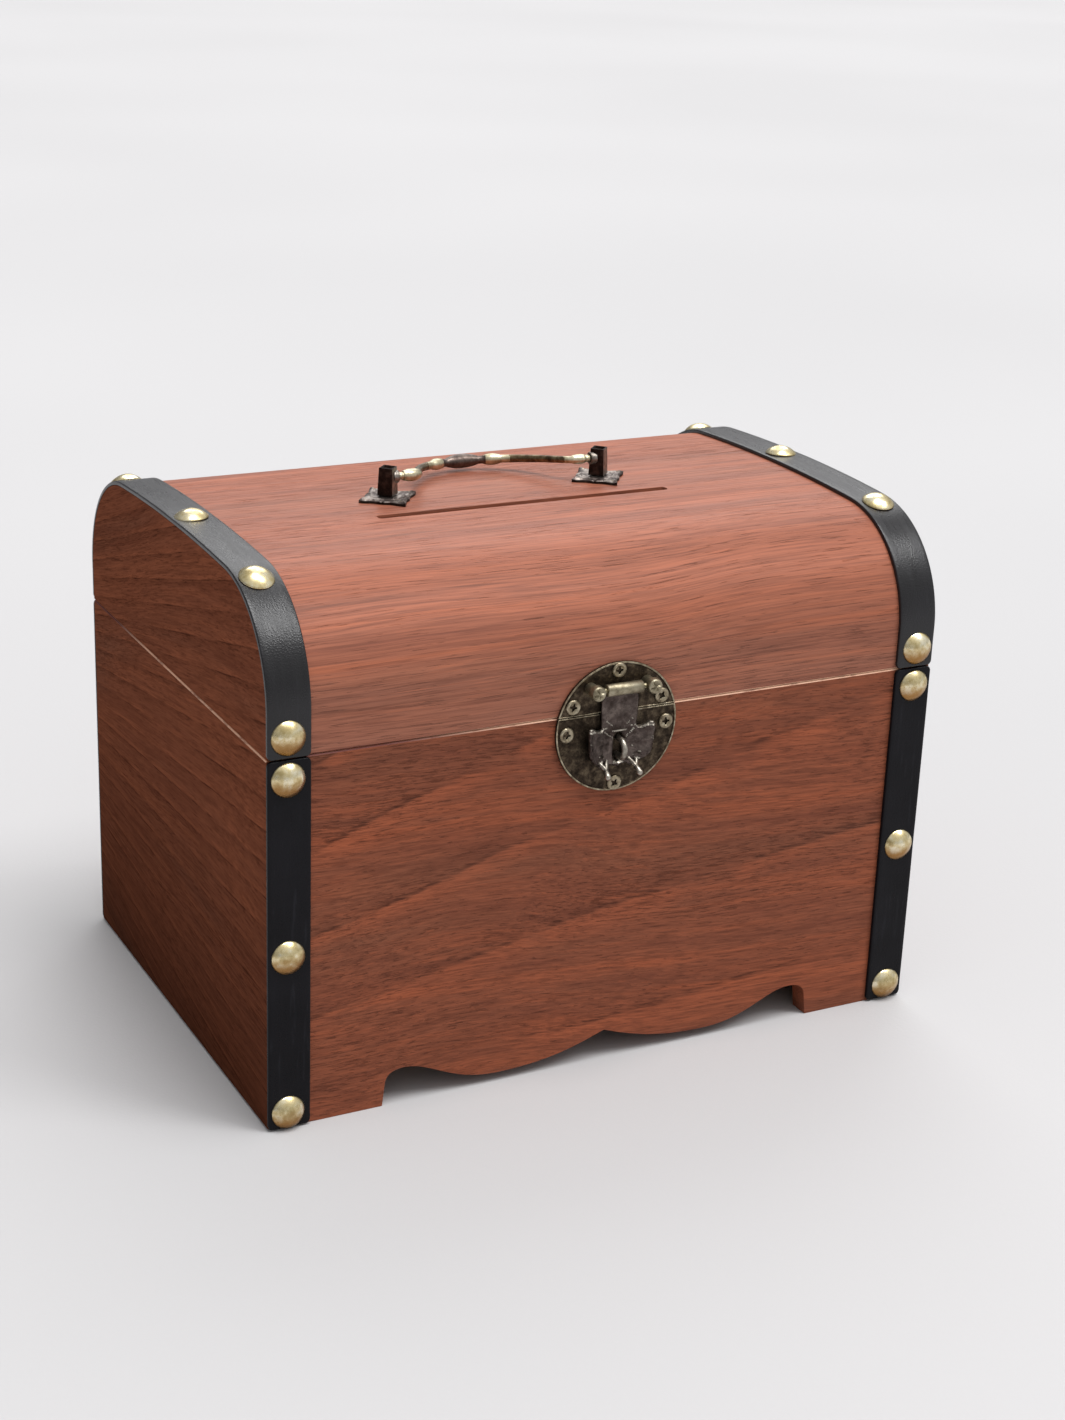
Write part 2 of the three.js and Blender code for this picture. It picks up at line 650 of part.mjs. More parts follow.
function addRearHinge(name, centreX) {
  const half = rearHinge.width / 2;
  const inner = 4;
  const outerSpans = [
    [-half, -inner - rearHinge.gap],
    [inner + rearHinge.gap, half],
  ];
  add(`${name}_hinge_body_leaf`, hingeLeaf(centreX, outerSpans, -1), "wornBrass");
  add(`${name}_hinge_lid_leaf`, hingeLeaf(centreX, [[-inner, inner]], 1), "wornBrass");
  const pin = rodAlongX(smallPin.radius, centreX - half, centreX + half, hingeAxisY, chest.partingZ);
  add(`${name}_hinge_pin`, pin, "wornBrass");
}

// ---------------------------------------------------------------- assembly

addFrontPanel([stapleTang(0.35), ...screwHoles("lower")]);
addBackAndBase();
addLidShell([...screwHoles("upper"), ...postXs.map(spigotHole)]);
addLidRails();
sides.forEach(addSide);
addHasp();
addHandle();
addRearHinge("left", -rearHinge.x);
addRearHinge("right", rearHinge.x);

export default chestGroup;
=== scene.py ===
"""The looks of the donation box: a small domed wooden money chest with black straps and dome-head nails,
a round butterfly hasp and a folding bail handle. Shapes are worked out in millimetres, from the places
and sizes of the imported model, and are made in metres."""

import json
import math
import random

import bmesh
import bpy
from mathutils import Matrix, Vector, noise
from mathutils.geometry import delaunay_2d_cdt


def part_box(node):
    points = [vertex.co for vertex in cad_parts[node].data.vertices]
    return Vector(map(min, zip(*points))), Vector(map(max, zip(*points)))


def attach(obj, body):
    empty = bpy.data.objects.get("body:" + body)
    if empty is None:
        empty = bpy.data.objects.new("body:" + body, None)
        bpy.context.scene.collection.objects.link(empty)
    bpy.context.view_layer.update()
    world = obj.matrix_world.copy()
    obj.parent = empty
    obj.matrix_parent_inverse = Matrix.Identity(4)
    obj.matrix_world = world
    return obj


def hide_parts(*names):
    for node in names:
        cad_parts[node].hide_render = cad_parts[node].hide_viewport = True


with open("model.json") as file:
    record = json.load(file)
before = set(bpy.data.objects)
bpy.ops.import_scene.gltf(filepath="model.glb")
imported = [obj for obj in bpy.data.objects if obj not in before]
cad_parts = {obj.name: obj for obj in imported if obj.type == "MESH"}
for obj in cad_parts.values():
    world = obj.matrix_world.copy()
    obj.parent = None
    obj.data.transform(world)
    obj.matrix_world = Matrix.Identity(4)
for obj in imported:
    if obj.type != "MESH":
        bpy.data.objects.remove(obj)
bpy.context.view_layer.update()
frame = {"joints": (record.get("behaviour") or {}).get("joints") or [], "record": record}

# ---------------------------------------------------------------- sizes, in millimetres

MM = 0.001


def box(node):
    low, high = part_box(node)
    return low / MM, high / MM


def middle(node):
    low, high = box(node)
    return (low + high) / 2


END_LOW, END_HIGH = box("left_end_panel")
FRONT_Y, BACK_Y = END_LOW.y, END_HIGH.y
MID_Y = (FRONT_Y + BACK_Y) / 2
HALF_DEPTH = (BACK_Y - FRONT_Y) / 2
PANEL_LOW, PANEL_HIGH = box("front_panel")
INNER_HALF_WIDTH = PANEL_HIGH.x
LID_LOW, LID_HIGH = box("lid_shell")
PARTING_Z = (END_HIGH.z + LID_LOW.z) / 2
PARTING_GAP = 0.14
BODY_TOP = PARTING_Z - PARTING_GAP / 2
LID_BOTTOM = PARTING_Z + PARTING_GAP / 2
LID_TOP = LID_HIGH.z
RIM = 0.38

LID_SKIN = 4
SPRING_Z = 129.8
CORNER_RADIUS = 34
CORNER_Y = HALF_DEPTH - CORNER_RADIUS
CROWN_RISE = LID_TOP - SPRING_Z - CORNER_RADIUS
CROWN_DROP = (CORNER_Y**2 - CROWN_RISE**2) / (2 * CROWN_RISE)
CROWN_RADIUS = CORNER_RADIUS + math.hypot(CORNER_Y, CROWN_DROP)
CROWN_ANGLE = math.atan2(CORNER_Y, CROWN_DROP)
CROWN_CENTRE_Z = SPRING_Z - CROWN_DROP

SLOT_X, SLOT_Y = -1.8, MID_Y - 16.5
SLOT_LENGTH, SLOT_WIDTH = 101, 3.2

STRAP_GLUE = 0.1
STRAP_TOP = 1.3
STRAP_WIDTH = 13.2
STRAP_LIFT = 0.12
NAIL_RADIUS, NAIL_HEIGHT = 5.2, 2.4
NAIL_SEAT = STRAP_TOP + 0.05

PLATE_RADIUS = 20.4
PLATE_GAP = 0.24
PLATE_X = -1.5
PLATE_Z = 112.2
PLATE_FRONT = box("hasp_lower_plate")[0].y
KNOB_X = 9.5
FLAP_STAND = 1.5

JOINT_AT = {joint["name"]: Vector(joint["pos_m"]) / MM for joint in frame["joints"]}
BODY_OF = {node: body for body, nodes in frame["record"]["behaviour"]["bodies"].items() for node in nodes}
DICE = random.Random(11)


# ---------------------------------------------------------------- materials


def srgb(*channels):
    """The linear colour of an 8-bit screen colour."""
    parts = [channel / 255 for channel in channels]
    return [part / 12.92 if part < 0.04045 else ((part + 0.055) / 1.055) ** 2.4 for part in parts] + [1]


def scaled(colour, factor):
    return [channel * factor for channel in colour[:3]] + [1]


class Nodes:
    """Builds the nodes of a material or a world."""

    def __init__(self, owner):
        owner.use_nodes = True
        self.tree = owner.node_tree

    def feed(self, socket, value):
        if isinstance(value, bpy.types.NodeSocket):
            self.tree.links.new(value, socket)
        else:
            socket.default_value = value

    def node(self, kind, inputs, **settings):
        made = self.tree.nodes.new("ShaderNode" + kind)
        for key, value in settings.items():
            setattr(made, key, value)
        for key, value in inputs.items():
            self.feed(made.inputs[key], value)
        return made

    def ramp(self, value, *stops):
        made = self.node("ValToRGB", {"Fac": value})
        elements = made.color_ramp.elements
        while len(elements) < len(stops):
            elements.new(0.5)
        for element, (position, colour) in zip(elements, stops):
            element.position = position
            element.color = colour
        return made.outputs["Color"]


class Look(Nodes):
    """Builds one material's nodes. self.place is the place on the chest, in millimetres."""

    def __init__(self, name):
        self.material = bpy.data.materials.new(name)
        super().__init__(self.material)
        coordinates = self.node("TexCoord", {})
        self.place = self.moved(coordinates.outputs["Object"], scale=(1 / MM, 1 / MM, 1 / MM))
        self.outward = coordinates.outputs["Normal"]

    def moved(self, vector, scale=(1, 1, 1), turn=(0, 0, 0), shift=(0, 0, 0)):
        inputs = {"Vector": vector, "Location": shift, "Rotation": turn, "Scale": scale}
        return self.node("Mapping", inputs).outputs["Vector"]

    def noise(self, vector, scale, shift=(0, 0, 0), detail=2, roughness=0.5):
        """Noise with scale ups and downs to a millimetre; one number does for all three directions."""
        scales = (scale,) * 3 if isinstance(scale, float) else scale
        inputs = {"Vector": self.moved(vector, scales, shift=shift), "Scale": 1}
        inputs.update({"Detail": detail, "Roughness": roughness})
        return self.node("TexNoise", inputs).outputs["Fac"]

    def span(self, value, low, high, to_low=0, to_high=1):
        inputs = {"Value": value, "From Min": low, "From Max": high, "To Min": to_low, "To Max": to_high}
        return self.node("MapRange", inputs, interpolation_type="SMOOTHSTEP").outputs["Result"]

    def maths(self, operation, first, second=0.0):
        return self.node("Math", {0: first, 1: second}, operation=operation).outputs[0]

    def minus(self, first, second):
        return self.maths("SUBTRACT", first, second)

    def plus(self, total, *others):
        for other in others:
            total = self.maths("ADD", total, other)
        return total

    def times(self, product, *others):
        for other in others:
            product = self.maths("MULTIPLY", product, other)
        return product

    def split(self, vector):
        return self.node("SeparateXYZ", {0: vector}).outputs

    def layered(self, colour, *layers):
        """Lays colours over a colour, each given as (how much of it, the colour)."""
        for amount, tone in layers:
            colour = self.node("Mix", {0: amount, 6: colour, 7: tone}, data_type="RGBA").outputs[2]
        return colour

    def finish(self, colour, roughness, relief, depth, metallic=0, shine=0.5):
        """Feeds the surface. depth is how deep the relief goes, in millimetres."""
        bump = self.node("Bump", {"Height": relief, "Strength": 1, "Distance": depth * MM})
        inputs = {"Base Color": colour, "Roughness": roughness, "Normal": bump.outputs["Normal"]}
        inputs.update({"Metallic": metallic, "Specular IOR Level": shine})
        for key, value in inputs.items():
            self.feed(self.tree.nodes["Principled BSDF"].inputs[key], value)
        return self.material


def wood(name, tones, fan, fan_lines, along="x", seed=0.0, tilt=0.0, follow=False, figure=1.0, shine=0.1,
         contrast=1.0, length=1.0, painted_shade_to=0):
    """Open-grained stained wood. tones are dark, middle, light and tan. Growth lines fan out from the point
    fan, given along and across the grain, fan_lines to a unit of slope; figure is how strong they are. The
    fibres slope down by tilt or follow the fan; length draws them out. Below painted_shade_to the colour is
    painted darker: painted shade towards the bottom."""
    look = Look(name)
    dark, mid, light, tan = (srgb(*tone) for tone in tones)
    grain = look.moved(look.place, turn=(0, 0, -math.pi / 2 if along == "y" else 0))
    x, y, z = look.split(grain)
    across = look.plus(z, look.minus(y, MID_Y)) if along == "x" else z
    slope = look.maths("DIVIDE", look.minus(across, fan[1]), look.minus(x, fan[0]))
    if follow:
        fanned = look.node("CombineXYZ", {0: x, 1: y, 2: look.times(slope, -fan[0])})
        sloped = look.moved(fanned.outputs[0], shift=(seed, seed, seed))
    else:
        sloped = look.moved(grain, turn=(0, -tilt, 0), shift=(seed, seed, seed))
    wander = look.noise(sloped, (0.007, 0.014, 0.014), detail=1)
    wander = look.span(wander, 0.25, 0.75, -3 * figure, 3 * figure)
    offset = look.node("CombineXYZ", {1: wander, 2: wander}).outputs[0]
    flow = look.node("VectorMath", {0: sloped, 1: offset}, operation="ADD").outputs[0]
    flow = look.moved(flow, (1 / length, 1, 1))

    zones = look.noise(flow, (0.007, 0.03, 0.03), (5, 3, 9))
    tints = look.noise(flow, (0.006, 0.05, 0.05), (1, 6, 2), detail=3)
    bands = look.noise(flow, (0.006, 0.2, 0.2), detail=5, roughness=0.65)
    streaks = look.noise(flow, (0.03, 1.1, 1.1), (2, 9, 4), detail=4, roughness=0.7)
    fibres = look.noise(flow, (0.1, 3.0, 3.0), roughness=0.6)
    flecks = look.noise(flow, (0.1, 1.3, 1.3), (8, 2, 6), detail=3, roughness=0.65)
    dashes = look.noise(flow, (0.19, 2.4, 2.4), (7, 1, 3), detail=3, roughness=0.6)
    breaks = look.noise(flow, (0.03, 0.09, 0.09), (4, 4, 1), detail=3)
    ripple = look.noise(flow, (0.06, 1.1, 1.1), detail=3, roughness=0.7)
    swell = look.noise(sloped, (0.008, 0.02, 0.02), (2, 8, 4), detail=1)

    rings = look.plus(look.times(slope, fan_lines), look.times(swell, 0.3), look.times(ripple, 0.1))
    ring = look.maths("FRACT", rings)
    broken = look.times(look.span(breaks, 0.36, 0.58), figure)
    glow = look.times(look.span(ring, 0.66, 0.88), look.span(ring, 0.95, 0.91))
    line = look.times(look.span(ring, 0.92, 0.95), look.span(ring, 0.995, 0.965))
    line = look.times(line, look.span(flecks, 0.6, 0.4, 0.25, 1))
    shade = look.maths("MAXIMUM", look.span(ring, 0.3, 0.0), look.span(ring, 0.97, 0.999))
    shade = look.times(shade, figure)
    density = look.minus(look.span(zones, 0.3, 0.7, 0.64, 0.55), look.times(shade, 0.05))
    pore = look.times(look.span(look.minus(dashes, density), 0.0, 0.07), contrast)

    colour = look.layered(
        look.ramp(bands, (0.28, dark), (0.5, mid), (0.72, light)),
        (look.span(tints, 0.48, 0.7, 0, 0.5), light),
        (look.span(tints, 0.5, 0.3, 0, 0.5), tan),
        (look.times(shade, 0.2), scaled(dark, 0.72)),
        (look.times(glow, broken, 0.5), scaled(light, 1.14)),
        (look.span(streaks, 0.3, 0.58, 0.45 * contrast, 0), scaled(dark, 0.66)),
        (look.span(flecks, 0.32, 0.52, 0.5 * contrast, 0), scaled(dark, 0.55)),
        (look.span(fibres, 0.36, 0.6, 0.34 * contrast, 0), scaled(dark, 0.6)),
        (look.span(flecks, 0.56, 0.76, 0, 0.35 * contrast), scaled(light, 1.18)),
        (look.times(line, broken, 0.75), scaled(dark, 0.36)),
        (look.times(pore, 0.5), scaled(dark, 0.36)),
    )
    # Painted shade: the colour is darkened towards the bottom, below the height painted_shade_to.
    if painted_shade_to:
        colour = look.layered(colour, (look.span(z, -10, painted_shade_to, 0.6, 0), scaled(dark, 0.2)))
    relief = look.plus(look.times(pore, -0.8), look.times(streaks, 0.4))
    roughness = look.plus(look.span(streaks, 0.3, 0.7, 0.54, 0.44), look.times(pore, 0.2))
    return look.finish(colour, roughness, relief, 0.1, shine=shine)


def bare_wood(name, light, dark, along="x"):
    look = Look(name)
    light, dark = srgb(*light), srgb(*dark)
    grain = look.moved(look.place, turn=(0, 0, math.pi / 2 if along == "y" else 0))
    bands = look.noise(grain, (0.01, 0.14, 0.14), detail=3, roughness=0.6)
    fibres = look.noise(grain, (0.07, 1.6, 1.6), (3, 1, 8), detail=4, roughness=0.7)
    colour = look.ramp(bands, (0.3, dark), (0.7, light))
    colour = look.layered(colour, (look.span(fibres, 0.35, 0.65, 0.5, 0), scaled(dark, 0.6)))
    return look.finish(colour, look.span(fibres, 0.3, 0.7, 0.85, 0.7), fibres, 0.12)


def worn_rim(name, along, start, full):
    """The arris at the parting line: bare pinkish wood, which the stain still covers towards one end."""
    look = Look(name)
    bare, stained = srgb(222, 178, 150), srgb(104, 48, 38)
    position = look.split(look.place)["xyz".index(along)]
    flecks = look.noise(look.place, (0.12, 0.12, 0.9), detail=4, roughness=0.7)
    worn = look.times(look.span(position, start, full), look.span(flecks, 0.32, 0.5, 0.25, 1))
    colour = look.layered(stained, (worn, bare))
    return look.finish(colour, look.span(flecks, 0.3, 0.7, 0.8, 0.6), flecks, 0.15)


def leatherette(name, shine):
    look = Look(name)
    pebbles = look.node("TexVoronoi", {"Vector": look.moved(look.place, (1.9, 1.9, 1.9)), "Scale": 1})
    pebble = look.span(pebbles.outputs["Distance"], 0.0, 0.75)
    scuffs = look.noise(look.place, (0.5, 0.05, 0.05), detail=4, roughness=0.65)
    cloud = look.noise(look.place, 0.06, detail=3)
    colour = look.ramp(cloud, (0.3, srgb(13, 12, 15)), (0.7, srgb(21, 20, 24)))
    colour = look.layered(colour, (look.span(scuffs, 0.56, 0.72, 0, 0.3), srgb(47, 47, 53)))
    roughness = look.plus(look.span(scuffs, 0.35, 0.65, 0.23, 0.33), look.times(pebble, 0.05))
    relief = look.plus(look.times(pebble, -0.5), look.times(scuffs, 0.4))
    return look.finish(colour, roughness, relief, 0.06, shine=shine)


def metal(name, dark, mid, light, roughness, mottle=0.35, grit=0.08, spots=0.5, under=None):
    """Aged cast or plated metal. mottle is the patches' scale per millimetre, grit the relief's depth and
    spots how strong the dark specks are; under is a colour painted on what faces down: painted shade and
    reflection on the lower side."""
    look = Look(name)
    dark, mid, light = srgb(*dark), srgb(*mid), srgb(*light)
    cloud = look.noise(look.place, mottle, detail=4, roughness=0.62)
    grain = look.noise(look.place, 2.4, detail=3, roughness=0.6)
    specks = look.noise(look.place, 1.1, (4, 4, 4), detail=4, roughness=0.7)
    colour = look.layered(
        look.ramp(cloud, (0.34, dark), (0.5, mid), (0.66, light)),
        (look.span(specks, 0.54, 0.68, 0, spots), scaled(dark, 0.45)),
        (look.span(grain, 0.6, 0.74, 0, 0.5), scaled(light, 1.15)),
    )
    # Painted shade and reflection: what faces down takes the under colour.
    if under:
        lie = look.plus(look.split(look.outward)[2], look.times(cloud, 0.5))
        colour = look.layered(colour, (look.span(lie, 0.6, -0.2), srgb(*under)))
    smooth, rough = roughness
    roughness = look.plus(look.span(cloud, 0.3, 0.7, rough, smooth), look.span(specks, 0.54, 0.68, 0, 0.16))
    relief = look.plus(grain, look.times(cloud, 1.4))
    return look.finish(colour, roughness, relief, grit, metallic=1)


def studio_paper(name):
    look = Look(name)
    tooth = look.noise(look.place, 0.8, detail=3)
    shade = look.noise(look.place, 0.0015, detail=1)
    colour = look.ramp(shade, (0.3, srgb(185, 184, 185)), (0.7, srgb(189, 188, 189)))
    return look.finish(colour, look.span(tooth, 0.3, 0.7, 0.9, 0.96), tooth, 0.05)


RED_TONES = ((119, 67, 50), (138, 80, 58), (162, 88, 59), (127, 81, 61))
LID_TONES = ((138, 82, 64), (157, 96, 74), (177, 102, 72), (147, 100, 82))
END_TONES = ((110, 63, 46), (127, 76, 56), (141, 83, 59), (112, 75, 60))

LOOKS = {
    "front": wood("front_wood", RED_TONES, (-390, -89), 11.1, tilt=math.radians(3)),
    "back": wood("back_wood", RED_TONES, (400, 30), 8, tilt=math.radians(-2), seed=340.0),
    "lid": wood("lid_wood", LID_TONES, (-2500, 60), 60, seed=170.0, figure=0.5, shine=0.22, length=2.6),
    # The end boards' colour is painted darker towards the bottom: painted shade.
    "end": wood("end_wood", END_TONES, (300, 62), 36, along="y", seed=520.0, follow=True, figure=1.1,
                shine=0.0, contrast=0.85, painted_shade_to=110),
    "bare": bare_wood("bare_wood", (206, 160, 122), (178, 128, 92)),
    "bare_end": bare_wood("bare_end_wood", (200, 154, 118), (172, 122, 88), along="y"),
    "front_rim": worn_rim("front_rim_wood", "x", -78, -20),
    "end_rim": worn_rim("end_rim_wood", "y", MID_Y + 60, MID_Y + 15),
    "strap": leatherette("strap_leatherette", 0.12),
    "lid_strap": leatherette("lid_strap_leatherette", 0.45),
    # The nails' under colour is painted shade and reflection on their lower side.
    "nail": metal("nail_brass", (184, 166, 118), (222, 206, 160), (244, 236, 208), (0.2, 0.36), mottle=0.28,
                  grit=0.008, spots=0.3, under=(158, 118, 70)),
    "plate": metal("plate_bronze", (42, 35, 29), (66, 56, 46), (98, 86, 70), (0.42, 0.58), mottle=0.4,
                   grit=0.12),
    "plate_rim": metal("rim_bronze", (104, 92, 76), (146, 134, 112), (178, 168, 146), (0.3, 0.46),
                       mottle=0.5),
    "post": metal("post_bronze", (34, 26, 23), (48, 38, 34), (70, 58, 52), (0.34, 0.48), mottle=0.4,
                  grit=0.04),
    # Paler bronze for the posts' sides that face +x, a painted reflection, and for the pin bosses.
    "lit_side_and_boss": metal("lit_side_and_boss_bronze", (96, 88, 82), (128, 120, 112), (154, 146, 138), (0.34, 0.46),
                       grit=0.04),
    "pewter": metal("aged_pewter", (59, 50, 46), (82, 72, 68), (109, 98, 92), (0.3, 0.44), mottle=0.3,
                    grit=0.05, spots=0.3),
    # Pale pewter for the staple and the flap's prongs; on the flap's wings it is a painted highlight on the
    # upward-facing edges.
    "silver": metal("pale_pewter_and_highlight", (120, 113, 104), (158, 151, 140), (190, 184, 172), (0.3, 0.44),
                    grit=0.04),
    "rosette": metal("rosette_pewter", (70, 61, 58), (112, 101, 96), (164, 154, 146), (0.38, 0.52),
                     grit=0.06),
    "barrel": metal("barrel_brass", (116, 107, 88), (150, 141, 119), (172, 164, 142), (0.38, 0.5),
                    grit=0.012, spots=0.2),
    "brass": metal("worn_brass", (150, 140, 112), (196, 186, 156), (220, 212, 186), (0.28, 0.42), grit=0.03,
                   spots=0.25),
    "dark_brass": metal("dark_brass", (70, 56, 42), (112, 96, 72), (150, 134, 104), (0.26, 0.42), grit=0.04),
    "grip": metal("grip_bronze", (70, 60, 56), (96, 84, 78), (124, 112, 104), (0.3, 0.42), grit=0.03,
                  spots=0.3),
    # Painted shade in recesses: the screws' cross recesses and the floors of the posts' hollow tops.
    "painted_recess_shade": metal("painted_recess_shade", (22, 20, 18), (34, 30, 26), (48, 43, 36), (0.6, 0.8)),
    "paper": studio_paper("studio_paper"),
}


# ---------------------------------------------------------------- mesh helpers


def slab(outline, axis, low, high):
    """A closed outline, given as the two coordinates other than axis, made solid between two levels."""
    bm = bmesh.new()
    index = "xyz".index(axis)
    rings = []
    for level in (low, high):
        corners = []
        for point in outline:
            corner = list(point)
            corner.insert(index, level)
            corners.append(bm.verts.new(corner))
        rings.append(corners)
    near, far = rings
    bm.faces.new(near)
    bm.faces.new(far)
    for i in range(len(outline)):
        bm.faces.new((near[i - 1], near[i], far[i], far[i - 1]))
    bmesh.ops.recalc_face_normals(bm, faces=bm.faces)
    return bm


def board(low, high):
    outline = [(low.x, low.y), (high.x, low.y), (high.x, high.y), (low.x, high.y)]
    return slab(outline, "z", low.z, high.z)


def soften(bm, width, segments=2, look=-1, pick=lambda edge: True, sharper_than=30):
    """Rounds the sharp edges that pick accepts; look is the new faces' material."""
    limit = math.radians(sharper_than)
    edges = [edge for edge in bm.edges if edge.calc_face_angle(0) > limit and pick(edge)]
    bmesh.ops.bevel(bm, geom=edges, offset=width, segments=segments, profile=0.5, affect="EDGES",
                    material=look, clamp_overlap=True)


def paint(bm, look, test):
    bm.normal_update()
    for face in bm.faces:
        if test(face.calc_center_median(), face.normal):
            face.material_index = look


def placed(bm, matrix, look=None):
    bmesh.ops.transform(bm, matrix=matrix, verts=bm.verts)
    if look is not None:
        for face in bm.faces:
            face.material_index = look
    return bm


def joined(*parts):
    """All the parts as one mesh."""
    whole = bmesh.new()
    for part in parts:
        scratch = bpy.data.meshes.new("scratch")
        part.to_mesh(scratch)
        whole.from_mesh(scratch)
        part.free()
        bpy.data.meshes.remove(scratch)
    return whole


def facing(at, direction, spin=0.0):
    """Puts a shape that stands up along Z at a place, facing a direction."""
    turn = Vector((0, 0, 1)).rotation_difference(Vector(direction)).to_matrix().to_4x4()
    return Matrix.Translation(at) @ turn @ Matrix.Rotation(spin, 4, "Z")


def grid_faces(bm, rows, closed=False):
    for lower, upper in zip(rows, rows[1:]):
        count = len(lower)
        for i in range(count if closed else count - 1):
            bm.faces.new((lower[i], lower[(i + 1) % count], upper[(i + 1) % count], upper[i]))


def lathe(profile, sides=32, shape=None):
    """Turns (radius, height) points about Z. shape(radius, height, angle) may move each point."""
    bm = bmesh.new()
    rows = []
    for radius, height in profile:
        row = []
        for i in range(sides):
            angle = 2 * math.pi * i / sides
            r, h = shape(radius, height, angle) if shape else (radius, height)
            row.append(bm.verts.new((r * math.cos(angle), r * math.sin(angle), h)))
        rows.append(row)
    grid_faces(bm, rows, closed=True)
    for row in (rows[0], rows[-1]):
        centre = bm.verts.new(sum((vert.co for vert in row), Vector()) / sides)
        for i in range(sides):
            bm.faces.new((row[i - 1], row[i], centre))
    return bm


def tube(route, radius_at, sides=16):
    """A round bar along a route of points; radius_at gives its radius at each point's index."""
    bm = bmesh.new()
    rows = []
    side = Vector((0, 0, 1))
    for i, point in enumerate(route):
        before = route[max(i - 1, 0)]
        after = route[min(i + 1, len(route) - 1)]
        ahead = (after - before).normalized()
        side = (side - side.dot(ahead) * ahead).normalized()
        other = ahead.cross(side)
        angles = [2 * math.pi * k / sides for k in range(sides)]
        spokes = [math.cos(angle) * side + math.sin(angle) * other for angle in angles]
        rows.append([bm.verts.new(point + radius_at(i) * spoke) for spoke in spokes])
    grid_faces(bm, rows, closed=True)
    bm.faces.new(rows[0])
    bm.faces.new(rows[-1])
    return bm


def add_object(bm, name, looks):
    """Turns a mesh in millimetres into an object in metres."""
    bmesh.ops.scale(bm, vec=(MM, MM, MM), verts=bm.verts)
    mesh = bpy.data.meshes.new(name)
    bm.to_mesh(mesh)
    bm.free()
    for look in looks:
        mesh.materials.append(LOOKS[look])
    made = bpy.data.objects.new(name, mesh)
    bpy.context.scene.collection.objects.link(made)
    return made


def piece(bm, node, looks, sharp=40, weighted=False):
    """Turns a mesh into the finished object that stands for a CAD node."""
    bmesh.ops.recalc_face_normals(bm, faces=bm.faces)
    made = add_object(bm, f"fine_{node}", looks)
    made.data.shade_smooth()
    made.data.set_sharp_from_angle(angle=math.radians(sharp))
    if weighted:
        made.modifiers.new("even_shading", "WEIGHTED_NORMAL").keep_sharp = True
    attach(made, BODY_OF[node])
    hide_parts(node)


# ---------------------------------------------------------------- the arch


def arch_point(lean, outset=0.0):
    """The arch's (y, z) where it faces lean from straight up, front negative."""
    if abs(lean) <= CROWN_ANGLE:
        centre_y, centre_z, radius = MID_Y, CROWN_CENTRE_Z, CROWN_RADIUS
    else:
        centre_y, centre_z, radius = MID_Y + math.copysign(CORNER_Y, lean), SPRING_Z, CORNER_RADIUS
    reach = radius + outset
    return centre_y + reach * math.sin(lean), centre_z + reach * math.cos(lean)


def lean_at(y, outset=0.0):
    """The lean of the arch at a given y."""
    offset = y - MID_Y
    if abs(offset) <= (CROWN_RADIUS + outset) * math.sin(CROWN_ANGLE):
        return math.asin(offset / (CROWN_RADIUS + outset))
    return math.asin((offset - math.copysign(CORNER_Y, offset)) / (CORNER_RADIUS + outset))


def arch_stations(also=()):
    """Leans from the front wall over the top to the back wall."""
    corner_steps, crown_steps = 18, 12
    quarter = math.pi / 2
    corner = [quarter - (quarter - CROWN_ANGLE) * i / corner_steps for i in range(corner_steps)]
    crown = [CROWN_ANGLE * (2 * i / crown_steps - 1) for i in range(crown_steps + 1)]
    kept = [lean for lean in crown if all(abs(lean - other) > 0.0025 for other in also)]
    return [-lean for lean in corner] + sorted(kept + list(also)) + corner[::-1]


def arch_outline(leans, outset=0.0):
    points = [arch_point(lean, outset) for lean in leans]
    return [(FRONT_Y - outset, LID_BOTTOM)] + points + [(BACK_Y + outset, LID_BOTTOM)]


ARCH_WALL = SPRING_Z - LID_BOTTOM
ARCH_CORNER = CORNER_RADIUS * (math.pi / 2 - CROWN_ANGLE)
ARCH_CROWN = CROWN_RADIUS * 2 * CROWN_ANGLE
ARCH_LENGTH = 2 * ARCH_WALL + 2 * ARCH_CORNER + ARCH_CROWN


def along_arch(distance, height):
    """The (y, z) of a point that stands height above the lid, distance along it from its front foot."""
    half = ARCH_LENGTH / 2
    from_top = min(abs(distance - half), half)
    sign = math.copysign(1, distance - half)
    if from_top <= ARCH_CROWN / 2:
        return arch_point(sign * from_top / CROWN_RADIUS, height)
    if from_top <= ARCH_CROWN / 2 + ARCH_CORNER:
        lean = CROWN_ANGLE + (from_top - ARCH_CROWN / 2) / CORNER_RADIUS
        return arch_point(sign * lean, height)
    down = from_top - ARCH_CROWN / 2 - ARCH_CORNER
    return MID_Y + sign * (HALF_DEPTH + height), SPRING_Z - down


def arch_distance(lean):
    """How far along the outline from the front foot the arch has a given lean."""
    if abs(lean) <= CROWN_ANGLE:
        from_top = abs(lean) * CROWN_RADIUS
    else:
        from_top = ARCH_CROWN / 2 + (abs(lean) - CROWN_ANGLE) * CORNER_RADIUS
    return ARCH_LENGTH / 2 + math.copysign(from_top, lean)


# ---------------------------------------------------------------- wooden boards


def is_level(edge, z):
    return all(abs(vert.co.z - z) < 0.01 for vert in edge.verts)


def cubic(start, first, second, end, steps):
    """Points of a Bezier stretch after its start."""
    points = []
    for i in range(1, steps + 1):
        t = i / steps
        u = 1 - t
        weighted = list(zip((u**3, 3 * u * u * t, 3 * u * t * t, t**3), (start, first, second, end)))
        points.append(tuple(sum(weight * point[k] for weight, point in weighted) for k in (0, 1)))
    return points


